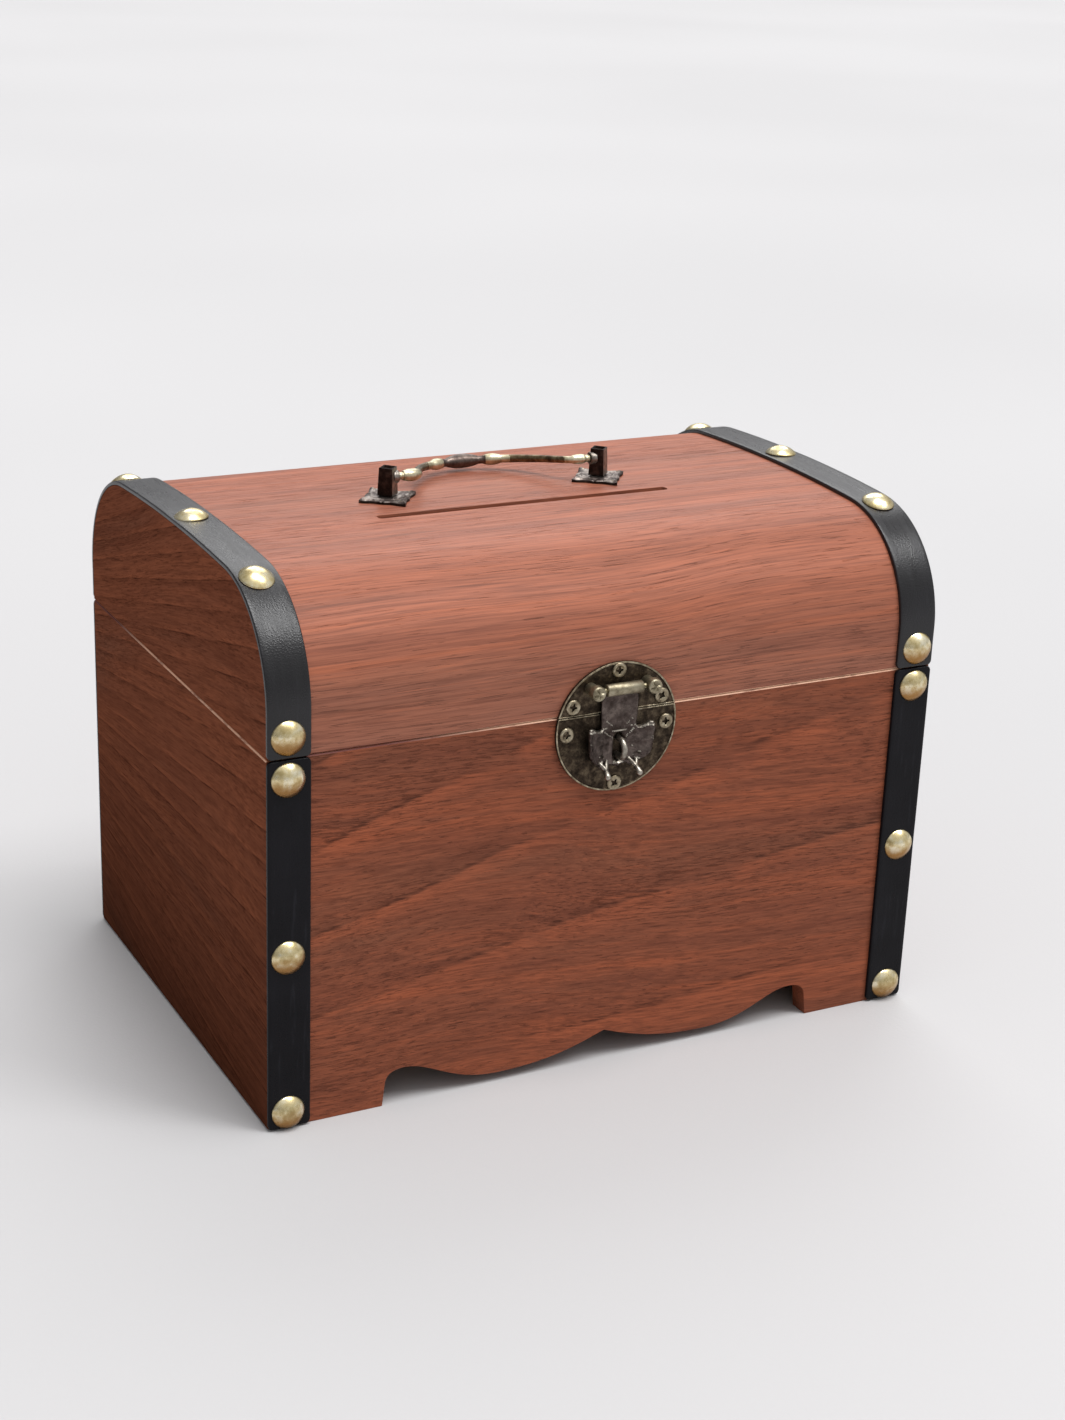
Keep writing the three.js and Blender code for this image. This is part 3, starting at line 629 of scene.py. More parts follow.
def apron_edge():
    """The front panel's lower edge: two feet, and between them two hanging lobes that meet in a cusp."""
    foot_x, shoulder, peak, lobe, cusp = 75.6, (74.8, 7), (68.5, 11.6), (37, 3), (0, 9.9)
    half = [(foot_x, 0), shoulder]
    half += cubic(shoulder, (74.6, 9.8), (73.0, 11.6), peak, 7)
    half += cubic(peak, (peak[0] - 9, peak[1]), (lobe[0] + 16, lobe[1]), lobe, 12)
    half += cubic(lobe, (lobe[0] - 16, lobe[1]), (12, cusp[1] - 4.6), cusp, 12)
    return [(-x, z) for x, z in half[:-1]] + half[::-1]


def untouched(edge):
    return not any(face.material_index for face in edge.link_faces)


def add_board(bm, node, looks, outward, rim_z, rounding=0.35):
    """Gives a board its bare inside, its worn arris at the parting line and its rounded edges.
    looks are those of the stained face, the bare wood and the worn rim."""
    outward = Vector(outward)

    def on_outer_rim(edge):
        facing_out = any(face.normal.dot(outward) > 0.9 for face in edge.link_faces)
        return facing_out and is_level(edge, rim_z)

    soften(bm, RIM, segments=1, look=2, pick=on_outer_rim)
    soften(bm, rounding, pick=untouched)
    bm.normal_update()
    for face in bm.faces:
        at_parting = abs(face.calc_center_median().z - rim_z) < 0.2 and abs(face.normal.z) > 0.9
        if face.material_index == 0 and (at_parting or face.normal.dot(outward) < -0.5):
            face.material_index = 1
    piece(bm, node, looks, weighted=True)


def add_front_panel():
    half = INNER_HALF_WIDTH
    outline = [(half, 0), (half, BODY_TOP), (-half, BODY_TOP), (-half, 0)] + apron_edge()
    bm = slab(outline, "y", PANEL_LOW.y, PANEL_HIGH.y)
    add_board(bm, "front_panel", ("front", "bare", "front_rim"), (0, -1, 0), BODY_TOP)


def add_back_panel():
    low, high = box("back_panel")
    high.z = BODY_TOP
    looks = ("back", "bare", "front_rim")
    add_board(board(low, high), "back_panel", looks, (0, 1, 0), BODY_TOP)


def add_plain_board(node):
    bm = board(*box(node))
    soften(bm, 0.4)
    piece(bm, node, ("bare",), weighted=True)


def add_end_boards(side, sign):
    looks, slot, outward = ("end", "bare_end", "end_rim"), "end_wood", (sign, 0, 0)
    low, high = box(f"{side}_end_panel")
    high.z = BODY_TOP
    panel = board(low, high)
    soften(panel, 1.2, segments=3, pick=lambda edge: is_level(edge, 0))
    add_board(panel, f"{side}_end_panel", looks, outward, BODY_TOP)
    low, high = box(f"{side}_lid_end")
    arch = slab(arch_outline(arch_stations()), "x", low.x, high.x)
    add_board(arch, f"{side}_lid_end", looks, outward, LID_BOTTOM, rounding=0.5)


def add_lid_shell():
    """The bent lid skin, with the coin slot cut through it."""
    slot_leans = [lean_at(SLOT_Y - SLOT_WIDTH / 2), lean_at(SLOT_Y + SLOT_WIDTH / 2)]
    leans = arch_stations(also=slot_leans)
    first = leans.index(slot_leans[0]) + 1
    columns = [-INNER_HALF_WIDTH, SLOT_X - SLOT_LENGTH / 2, SLOT_X + SLOT_LENGTH / 2, INNER_HALF_WIDTH]
    bm = bmesh.new()

    def skin(outset):
        rows = [[bm.verts.new((x, y, z)) for x in columns] for y, z in arch_outline(leans, outset)]
        for j, (lower, upper) in enumerate(zip(rows, rows[1:])):
            for i in range(len(columns) - 1):
                if (i, j) != (1, first):
                    bm.faces.new((lower[i], lower[i + 1], upper[i + 1], upper[i]))
        return rows

    outer, inner = skin(0), skin(-LID_SKIN)
    for i in (0, -1):
        grid_faces(bm, (outer[i], inner[i]))
        grid_faces(bm, ([row[i] for row in outer], [row[i] for row in inner]))
    hole = [(first, 1), (first, 2), (first + 1, 2), (first + 1, 1)]
    for (j, i), (k, m) in zip(hole, hole[1:] + hole[:1]):
        bm.faces.new((outer[j][i], outer[k][m], inner[k][m], inner[j][i]))
    bmesh.ops.recalc_face_normals(bm, faces=bm.faces)

    def slot_corner(edge):
        rise = edge.verts[0].co.z - edge.verts[1].co.z
        middle_y = (edge.verts[0].co.y + edge.verts[1].co.y) / 2
        on_edge_of_skin = abs(edge.verts[0].co.x) > INNER_HALF_WIDTH - 1
        return abs(rise) > LID_SKIN / 2 and abs(middle_y - SLOT_Y) < SLOT_WIDTH and not on_edge_of_skin

    def front_or_back_rim(edge):
        outside = all(abs(vert.co.y - MID_Y) > HALF_DEPTH - 0.1 for vert in edge.verts)
        return outside and is_level(edge, LID_BOTTOM)

    soften(bm, 1.1, segments=3, pick=slot_corner)
    soften(bm, RIM, segments=1, look=2, pick=front_or_back_rim)
    soften(bm, 0.3, pick=untouched, sharper_than=50)

    def is_bare(centre, normal):
        arch_middle = Vector((centre.x, MID_Y, SPRING_Z - CORNER_RADIUS))
        inside = normal.dot(centre - arch_middle) < -1 or normal.z < -0.9
        in_slot = abs(centre.y - SLOT_Y) < SLOT_WIDTH and centre.z > LID_TOP - LID_SKIN + 0.1
        return inside and not in_slot

    paint(bm, 1, is_bare)
    piece(bm, "lid_shell", ("lid", "bare", "front_rim"), weighted=True)


def add_boards():
    add_front_panel()
    add_back_panel()
    for side, sign in (("left", -1), ("right", 1)):
        add_end_boards(side, sign)
    add_lid_shell()
    for node in ("bottom_panel", "lid_front_rail", "lid_back_rail"):
        add_plain_board(node)


# ---------------------------------------------------------------- straps and nails


def add_strap(node, look, length, place_at, nails_at):
    """A strap with rounded corners and edges, pressed in round its nails.
    place_at(distance, height) gives its (y, z); nails_at are the nails' distances along it."""
    middle_x = middle(node).x
    corner, edge, nail_dent = 1.6, 0.45, 0.28
    near_end = [0, 0.12, 0.3, 0.55, 0.9, 1.25, corner]
    count = round((length - 2 * corner) / 1.5)
    inner = [corner + (length - 2 * corner) * i / count for i in range(1, count)]
    stations = near_end + inner + [length - distance for distance in reversed(near_end)]
    across_steps = 12
    bm = bmesh.new()

    def row_at(distance, on_top):
        from_end = min(distance, length - distance)
        bite = corner - math.sqrt(max(corner**2 - max(corner - from_end, 0) ** 2, 0))
        half = STRAP_WIDTH / 2 - bite
        left = [-half + inset for inset in (0, 0.1, 0.22, edge)]
        flat = [(-half + edge) + (2 * half - 2 * edge) * i / across_steps for i in range(1, across_steps)]
        row = []
        for across in left + flat + [-x for x in reversed(left)]:
            border = min(half - abs(across), from_end, edge)
            height = STRAP_TOP - edge + edge * math.sqrt(max(1 - (1 - border / edge) ** 2, 0))
            for at in nails_at:
                away = math.hypot(across, distance - at) / NAIL_RADIUS
                height -= nail_dent * math.exp(-(away**2) * 0.9)
            y, z = place_at(distance, height if on_top else STRAP_GLUE)
            row.append(bm.verts.new((middle_x + across, y, z)))
        return row

    top = [row_at(distance, True) for distance in stations]
    under = [row_at(distance, False) for distance in stations]
    grid_faces(bm, top)
    grid_faces(bm, under)
    for i in (0, -1):
        grid_faces(bm, (top[i], under[i]))
        grid_faces(bm, ([row[i] for row in top], [row[i] for row in under]))
    piece(bm, node, (look,), sharp=50)


def nail_mesh():
    """A dome-head nail that stands up along Z, a little dented, with a thin turned-down skirt."""
    dome_radius = (NAIL_RADIUS**2 + NAIL_HEIGHT**2) / (2 * NAIL_HEIGHT)
    edge = math.asin(NAIL_RADIUS / dome_radius)
    steps = 11
    dome = []
    for i in range(steps):
        angle = edge * (1 - i / steps)
        dome.append((dome_radius * math.sin(angle), dome_radius * (math.cos(angle) - 1) + NAIL_HEIGHT))
    skirt = [(NAIL_RADIUS - 0.5, -0.3), (NAIL_RADIUS - 0.12, -0.32), (NAIL_RADIUS, -0.2)]
    bm = lathe(skirt + [(NAIL_RADIUS + 0.03, 0.02)] + dome[1:], sides=36)
    offset = Vector(DICE.uniform(-50, 50) for _ in range(3))
    for vert in bm.verts:
        if vert.co.z > 0.3:
            dents, hammering = noise.noise(vert.co * 0.25 + offset), noise.noise(vert.co * 0.9 + offset)
            vert.co.z += 0.08 * dents + 0.015 * hammering
    return bm


def add_nail(node, at, direction):
    tilt = Vector((DICE.uniform(-0.05, 0.05), DICE.uniform(-0.05, 0.05), DICE.uniform(-0.05, 0.05)))
    matrix = facing(at, (Vector(direction) + tilt).normalized(), spin=DICE.uniform(0, 6.3))
    piece(placed(nail_mesh(), matrix), node, ("nail",), sharp=60)


def add_wall_strap(side, wall, sign):
    node = f"{side}_{wall}_strap"
    foot_z = box(node)[0].z
    length = BODY_TOP - STRAP_LIFT - foot_z
    nails = {f"{side}_{wall}_nail_{i}": middle(f"{side}_{wall}_nail_{i}") for i in (1, 2, 3)}

    def place_at(distance, height):
        return MID_Y + sign * (HALF_DEPTH + height), foot_z + distance

    add_strap(node, "strap", length, place_at, [centre.z - foot_z for centre in nails.values()])
    for nail, centre in nails.items():
        add_nail(nail, (centre.x, MID_Y + sign * (HALF_DEPTH + NAIL_SEAT), centre.z), (0, sign, 0))


def add_lid_strap(side):
    """The strap over the lid. Its first and last nails are on the walls, the others on the arch."""
    spots = []
    for i in range(1, 6):
        nail = f"{side}_lid_nail_{i}"
        centre = middle(nail)
        if i in (1, 5):
            sign = -1 if i == 1 else 1
            at = (centre.x, MID_Y + sign * (HALF_DEPTH + NAIL_SEAT), centre.z)
            distance = centre.z - LID_BOTTOM if i == 1 else ARCH_LENGTH - (centre.z - LID_BOTTOM)
            spots.append((nail, at, (0, sign, 0), distance))
        else:
            lean = lean_at(centre.y, NAIL_SEAT)
            at = (centre.x, *arch_point(lean, NAIL_SEAT))
            spots.append((nail, at, (0, math.sin(lean), math.cos(lean)), arch_distance(lean)))

    def place_at(distance, height):
        return along_arch(distance + STRAP_LIFT, height)

    length = ARCH_LENGTH - 2 * STRAP_LIFT
    add_strap(f"{side}_lid_strap", "lid_strap", length, place_at, [spot[3] - STRAP_LIFT for spot in spots])
    for nail, at, direction, _ in spots:
        add_nail(nail, at, direction)


def add_straps():
    for side in ("left", "right"):
        add_wall_strap(side, "front", -1)
        add_wall_strap(side, "back", 1)
        add_lid_strap(side)


# ---------------------------------------------------------------- reliefs


def rounded(loop):
    """Cuts a closed loop's corners twice, so that it runs in soft curves."""
    for _ in range(2):
        cut = []
        for start, end in zip(loop, loop[1:] + loop[:1]):
            start, end = Vector(start), Vector(end)
            cut += [start.lerp(end, 0.25), start.lerp(end, 0.75)]
        loop = cut
    return [tuple(point) for point in loop]


def segment_distance(point, start, end):
    dx, dy = end[0] - start[0], end[1] - start[1]
    x, y = point[0] - start[0], point[1] - start[1]
    t = min(max((x * dx + y * dy) / (dx * dx + dy * dy), 0), 1)
    return math.hypot(x - t * dx, y - t * dy)


def border_distance(point, loop):
    """How far a point is from a closed loop."""
    return min(segment_distance(point, start, end) for start, end in zip(loop, loop[1:] + loop[:1]))


def is_within(point, loop):
    inside = False
    for (ax, ay), (bx, by) in zip(loop, loop[1:] + loop[:1]):
        if (ay > point[1]) != (by > point[1]) and point[0] < ax + (point[1] - ay) * (bx - ax) / (by - ay):
            inside = not inside
    return inside


def relief_plate(outline, holes, spacing, height_at):
    """A flat-backed plate, modelled on its upper face: height_at(x, y, distance from the edge)."""
    loops = [outline] + holes
    points, edges = [], []
    for loop in loops:
        start = len(points)
        points += loop
        edges += [(start + i, start + (i + 1) % len(loop)) for i in range(len(loop))]
    border_count = len(points)
    xs, ys = zip(*outline)

    def is_metal(point):
        return is_within(point, outline) and not any(is_within(point, hole) for hole in holes)

    def to_edge(point):
        return min(border_distance(point, loop) for loop in loops)

    row = 0
    y = min(ys)
    while y < max(ys):
        x = min(xs) + (row % 2) * spacing / 2
        while x < max(xs):
            if is_metal((x, y)) and to_edge((x, y)) > spacing * 0.45:
                points.append((x, y))
            x += spacing
        y += spacing * 0.87
        row += 1
    places, _, triangles, *_ = delaunay_2d_cdt([Vector(point) for point in points], edges, [], 0, 1e-5)
    bm = bmesh.new()
    tops, backs = [], []
    for i, place in enumerate(places):
        distance = 0 if i < border_count else to_edge(place)
        tops.append(bm.verts.new((place.x, place.y, height_at(place.x, place.y, distance))))
        backs.append(bm.verts.new((place.x, place.y, 0)))
    for triangle in triangles:
        if is_metal(sum((places[i] for i in triangle), Vector((0, 0))) / 3):
            bm.faces.new([tops[i] for i in triangle])
            bm.faces.new([backs[i] for i in reversed(triangle)])
    for start, end in edges:
        bm.faces.new((tops[start], tops[end], backs[end], backs[start]))
    return bm


def ease(value):
    value = min(max(value, 0), 1)
    return value * value * (3 - 2 * value)


def ridge(distance, half_width):
    return ease(1 - abs(distance) / half_width)


# ---------------------------------------------------------------- hasp


def arc_points(x, z, radius, start, end, steps):
    angles = [start + (end - start) * i / steps for i in range(steps + 1)]
    return [(x + radius * math.cos(angle), z + radius * math.sin(angle)) for angle in angles]


def plate_half(edge_z, upper):
    """Half of the round plate, with a raised rim all round. Materials: 0 plate, 1 rim."""
    edge = math.asin((edge_z - PLATE_Z) / PLATE_RADIUS)
    start, end = (edge, math.pi - edge) if upper else (math.pi - edge, 2 * math.pi + edge)
    outline = arc_points(PLATE_X, PLATE_Z, PLATE_RADIUS, start, end, 56)
    bm = slab(outline, "y", PLATE_FRONT, PLATE_FRONT + 1)
    front = min(bm.faces, key=lambda face: face.calc_center_median().y)
    rim_width, rim_slope, rim_height = 0.5, 0.3, 0.32
    bmesh.ops.inset_region(bm, faces=[front], thickness=rim_width)
    bmesh.ops.inset_region(bm, faces=[front], thickness=rim_slope, depth=-rim_height)
    soften(bm, 0.16, sharper_than=50)

    def on_rim(at, _):
        from_edge = PLATE_RADIUS - math.hypot(at.x - PLATE_X, at.z - PLATE_Z)
        from_border = min(from_edge, abs(at.z - edge_z))
        return at.y < PLATE_FRONT + 0.1 and from_border < rim_width + rim_slope + 0.1

    paint(bm, 1, on_rim)
    return bm


def knob_mesh(height):
    """A round hinge post that stands up along Z, its domed face marked with a small cross."""

    def crossed(radius, z, angle):
        if z > height - 0.6 and radius < 1.9:
            z -= 0.5 * abs(math.cos(2 * angle)) ** 5 * ease(radius / 0.7) * ease((1.95 - radius) / 0.4)
        return radius, z

    below_top = [(1.9, 3.4), (2.1, 2.8), (2.35, 2.6), (2.35, 0.9), (2.2, 0.45), (1.98, 0.25), (1.8, 0.15)]
    below_top += [(1.5, 0.08), (1.1, 0.03), (0.7, 0), (0.3, 0)]
    profile = [(1.9, 0)] + [(radius, height - drop) for radius, drop in below_top]
    return lathe(profile, sides=48, shape=crossed)


def add_hasp_plates():
    front = box("hasp_upper_plate")[0].y
    knobs = []
    for sign in (-1, 1):
        at = Vector((PLATE_X + sign * KNOB_X, PLATE_FRONT + 0.2, JOINT_AT["flap_hinge"].z))
        knobs.append(placed(knob_mesh(at.y - front + 0.3), facing(at, (0, -1, 0), spin=0.4), look=2))
    looks = ("plate", "plate_rim", "barrel")
    upper = joined(plate_half(PARTING_Z + PLATE_GAP / 2, True), *knobs)
    piece(upper, "hasp_upper_plate", looks, sharp=45, weighted=True)
    lower = plate_half(PARTING_Z - PLATE_GAP / 2, False)
    piece(lower, "hasp_lower_plate", looks, sharp=45, weighted=True)


def screw_mesh():
    """A ring-headed screw that stands up along Z, with a cross recess. Materials: 0 ring, 1 recess, painted
    dark as painted shade.
    """

    def crossed(radius, height, angle):
        arm = 0.55 + 0.45 * abs(math.cos(2 * angle)) ** 3 if radius < 1.25 else 1
        return radius * arm, height

    ring = [(1.9, -0.2), (2.4, 0), (2.42, 0.3), (2.2, 0.62), (1.85, 0.74), (1.5, 0.66), (1.3, 0.5)]
    bm = lathe(ring + [(1.24, 0.4), (1.15, -0.1), (0.4, -0.3)], sides=32, shape=crossed)
    # The cross recess is painted dark: painted shade.
    paint(bm, 1, lambda centre, normal: math.hypot(centre.x, centre.y) < 1.22 and centre.z < 0.44)
    return bm


def add_hasp_screws():
    for i in range(1, 7):
        node = f"hasp_screw_{i}"
        centre = middle(node)
        at = (centre.x, PLATE_FRONT + 0.25, centre.z)
        bm = placed(screw_mesh(), facing(at, (0, -1, 0), spin=DICE.uniform(0, 1.5)))
        piece(bm, node, ("plate_rim", "painted_recess_shade"), sharp=50)


def rod(radius, length, x, axis, look=0, chamfer=0.2, sides=24):
    """A turned rod with chamfered ends, which lies along X with its middle at x on an axis."""
    rim, half = radius - chamfer, length / 2
    profile = [(rim, -half), (radius, -half + chamfer), (radius, half - chamfer), (rim, half)]
    return placed(lathe(profile, sides), facing((x, axis.y, axis.z), (1, 0, 0)), look)


def add_hasp_pin():
    bm = rod(0.8, 19, PLATE_X, JOINT_AT["flap_hinge"])
    piece(bm, "hasp_hinge_pin", ("brass",))


def add_staple():
    """A round-bar eye that stands out of the lower plate."""
    low, high = box("hasp_staple")
    bar = 0.95
    radius = (high.z - low.z) / 2 - bar
    centre_z = (low.z + high.z) / 2
    root = PLATE_FRONT + 0.6
    arc = arc_points(low.y + radius + bar, centre_z, radius, math.pi / 2, 1.5 * math.pi, 20)
    route = [(root, centre_z + radius)] + arc + [(root, centre_z - radius)]
    bm = tube([Vector((PLATE_X, y, z)) for y, z in route], lambda i: bar, sides=14)
    piece(bm, "hasp_staple", ("silver",), sharp=50)


BUTTERFLY_HALF = [
    (6.1, 13.0), (6.1, 4.0), (5.7, 0.0), (7.4, 0.1), (10.4, 1.9), (11.3, 0.2), (10.8, -4.0), (10.9, -7.2),
    (8.7, -10.2), (6.8, -10.9), (5.7, -12.5), (4.1, -12.4), (2.9, -11.0), (0, -12.6),
]
NECK_MARKS = (
    ((5.6, -0.4), (2.0, -3.2)), ((5.6, 3.4), (2.6, 1.0)), ((1.2, 7.2), (3.8, 4.4)), ((1.0, 4.2), (3.0, 6.6)),
)
PRONG_RADII = (0.7, 0.8, 0.9, 0.95, 1.0, 1.0, 0.98, 0.85, 0.45)


def flap_height(x, z, distance):
    """How far the butterfly's front stands above its back, x and z from the plate's centre."""
    side = abs(x)
    height = 0.72 + 0.36 * math.sqrt(1 - (1 - min(distance / 0.7, 1)) ** 2)
    to_slot = max(side - 1.6, abs(z + 5.9) - 4.4)
    height += 0.38 * ridge(to_slot - 0.7, 0.7)
    for start, end in NECK_MARKS:
        height += 0.34 * ridge(segment_distance((side, z), start, end), 0.5)
    if side > 3 and -10.8 < z < 0.5:
        wing_veins = 0.5 + 0.5 * math.cos(17 * math.atan2(z + 4.4, side + 1.5))
        height += 0.36 * wing_veins * ease((side - 3) / 2)
        height += 0.34 * ridge(distance - 0.45, 0.45)
    wing_eye = ridge(math.hypot(side - 6.3, z + 9.2) - 1.2, 0.5)
    roughcast = noise.noise(Vector((x, z, 3)) * 0.9)
    return height + 0.4 * wing_eye + 0.12 * roughcast


def wing_lift(x):
    """How far the wings bend forwards, away from the plate."""
    return 2.6 * max(abs(x) - 5.2, 0) / 6.8


def taper(start, end, radii, sides):
    """A straight bar whose radius runs through the given values."""
    last = len(radii) - 1
    return tube([start.lerp(end, i / last) for i in range(last + 1)], lambda i: radii[i], sides)


def flap_prong(sign):
    """A forked prong that stands out of the flap's lower edge, in the flap's own plane and depth."""
    fork = Vector((sign * 5.1, -11.9, 3.2))
    tip = Vector((sign * 5.6, -13.9, 6.0))
    roots = [Vector((sign * x, -9.9, 0.9)) for x in (3.7, 6.6)]
    arm_radii = [0.55 + 0.05 * i for i in range(6)]
    return [taper(fork, tip, PRONG_RADII, 16)] + [taper(root, fork, arm_radii, 10) for root in roots]


def add_flap():
    staple_z = middle("hasp_staple").z - PLATE_Z
    mirrored = [(-x, z) for x, z in BUTTERFLY_HALF[-2::-1]]
    outline = rounded(BUTTERFLY_HALF + mirrored)
    top, bottom, side = staple_z + 4.5, staple_z - 4.5, 1.7
    slot = rounded([(side, top), (side, bottom), (-side, bottom), (-side, top)])
    wings = relief_plate(outline, [slot], 0.42, flap_height)
    # Faces turned upwards are painted pale: a painted highlight along the wings' top edges and ridges.
    paint(wings, 1, lambda centre, normal: normal.y > 0.45 and centre.y < 3)
    for vert in wings.verts:
        vert.co.z += wing_lift(vert.co.x)
    stand = FRONT_Y - FLAP_STAND
    upright = Matrix(((1, 0, 0, PLATE_X), (0, 0, -1, stand), (0, 1, 0, PLATE_Z), (0, 0, 0, 1)))
    parts = [placed(wings, upright)]
    parts += [placed(prong, upright, look=1) for sign in (-1, 1) for prong in flap_prong(sign)]
    parts.append(rod(1.9, 12.2, PLATE_X, JOINT_AT["flap_hinge"], look=2, chamfer=0.3))
    piece(joined(*parts), "hasp_flap", ("pewter", "silver", "barrel"), sharp=55)


def add_hasp():
    add_hasp_plates()
    add_hasp_screws()
    add_hasp_pin()
    add_staple()
    add_flap()


# ---------------------------------------------------------------- handle


def rosette_height(x, y, distance):
    """A cornerwise leaf ornament: raised border, four leaves and a ring round the post."""
    radius, angle = math.hypot(x, y), math.atan2(y, x)
    height = 0.75 + 0.3 * math.sqrt(1 - (1 - min(distance / 0.8, 1)) ** 2)
    ring = ridge(radius - 5.1, 0.7)
    border = (0.5 + 0.5 * math.cos(4 * angle)) * ridge(distance - 1.0, 0.8)
    leaf_rib = ridge(radius * math.sin(2 * angle) * 0.5, 0.5) * ease((radius - 5.2) / 1.5)
    hollow = ease(1 - math.hypot(abs(x) - abs(y), radius - 6.5) / 0.9)
    roughcast = noise.noise(Vector((x, y, 1)) * 1.1)
    return height + 0.4 * ring + 0.34 * border + 0.3 * leaf_rib - 0.45 * hollow + 0.08 * roughcast


def rosette_outline():
    """A cornerwise square with wavy sides."""
    tip, least, count = 10.1, 6.4, 96
    outline = []
    for i in range(count):
        angle = 2 * math.pi * i / count
        x, y = math.cos(angle), math.sin(angle)
        wave = 0.32 * math.cos(8 * angle) - 0.35 * (1 - abs(math.cos(2 * angle)))
        radius = max(tip / (abs(x) + abs(y)) + wave, least)
        outline.append((radius * x, radius * y))
    return outline


def add_rosette(side):
    node = f"handle_{side}_rosette"
    centre = middle(node)
    centre.z = box(node)[0].z
    askew = math.radians(8)
    plate = relief_plate(rosette_outline(), [], 0.45, rosette_height)
    paint(plate, 2, lambda at, normal: 0.1 < at.z < 0.7)
    parts = [placed(plate, Matrix.Translation(centre) @ Matrix.Rotation(askew, 4, "Z"))]
    for i in range(4):
        angle = math.pi / 2 * i + askew
        at = centre + Vector((8.3 * math.cos(angle), 8.3 * math.sin(angle), 0.95))
        brad = lathe([(0.85, 0), (0.8, 0.25), (0.5, 0.48)], sides=14)
        parts.append(placed(brad, Matrix.Translation(at), look=1))
    piece(joined(*parts), node, ("rosette", "plate_rim", "post"), sharp=55)


def add_post(side, inward):
    """A tapered square post with a hollow top and a boss where the bail's pin goes in."""
    node = f"handle_{side}_post"
    x, y, _ = middle(node)
    top_z = box(node)[1].z
    foot_z = box(f"handle_{side}_rosette")[1].z - 0.2
    foot, taper_in = box(node)[1].x - x, 0.5
    wall, hollow_slope, hollow_depth = 0.55, 0.25, 0.9
    bm = slab([(x - foot, y), (x, y - foot), (x + foot, y), (x, y + foot)], "z", foot_z, top_z)
    shrink = (foot - taper_in) / foot
    for vert in bm.verts:
        if vert.co.z > top_z - 0.1:
            vert.co.x = x + (vert.co.x - x) * shrink
            vert.co.y = y + (vert.co.y - y) * shrink
    top = max(bm.faces, key=lambda face: face.calc_center_median().z)
    bmesh.ops.inset_region(bm, faces=[top], thickness=wall)
    bmesh.ops.inset_region(bm, faces=[top], thickness=hollow_slope, depth=-hollow_depth)
    soften(bm, 0.25)
    # Faces turned towards +x are painted in the paler bronze: a painted reflection of the bright side.
    paint(bm, 1, lambda at, normal: normal.x > 0.4 and abs(normal.z) < 0.4)
    # The floor of the hollow top is painted dark: painted shade.
    paint(bm, 2, lambda at, normal: at.z < top_z - 0.6 and normal.z > 0.8 and abs(at.x - x) < 1.9)
    pivot_z = JOINT_AT["bail_pivot"].z
    boss = lathe([(2.1, -1.8), (2.1, -0.2), (1.9, 0.1), (1.7, 0.15), (1.5, 0.1), (1.45, -0.5)], sides=24)
    face_x = x + inward * (foot - taper_in * (pivot_z - foot_z) / (top_z - foot_z))
    placed(boss, facing((face_x, y, pivot_z), (inward, 0, 0)), look=1)
    piece(joined(bm, boss), node, ("post", "lit_side_and_boss", "painted_recess_shade"), weighted=True)


def curve_through(points, steps):
    """Points of a smooth curve that passes through the given points."""
    ends = [points[0] * 2 - points[1]] + points + [points[-1] * 2 - points[-2]]
    route = []
    for a, b, c, d in zip(ends, ends[1:], ends[2:], ends[3:]):
        bend, twist = 2 * a - 5 * b + 4 * c - d, 3 * b - a - 3 * c + d
        for i in range(steps):
            t = i / steps
            route.append(0.5 * (2 * b + (c - a) * t + bend * t**2 + twist * t**3))
    return route + [points[-1]]


def bail_radius(offset, end):
    """The bail's radius at an offset from its middle: oval grip, knuckles, tapering arms and end curls."""
    away = abs(offset)
    curl, curl_length = (2.0, 4.6) if offset < 0 else (1.6, 3.6)
    widest = 1.3 - 0.2 * ease((away - 14) / (end - 18))
    swellings = ((0, 2.3, 7.0), (9.8, 1.9, 3.6), (end - curl_length - 0.4, curl, curl_length))
    for centre, radius, half_length in swellings:
        t = (away - centre) / half_length
        if abs(t) < 1:
            widest = max(widest, radius * math.sqrt(1 - t * t))
    return widest


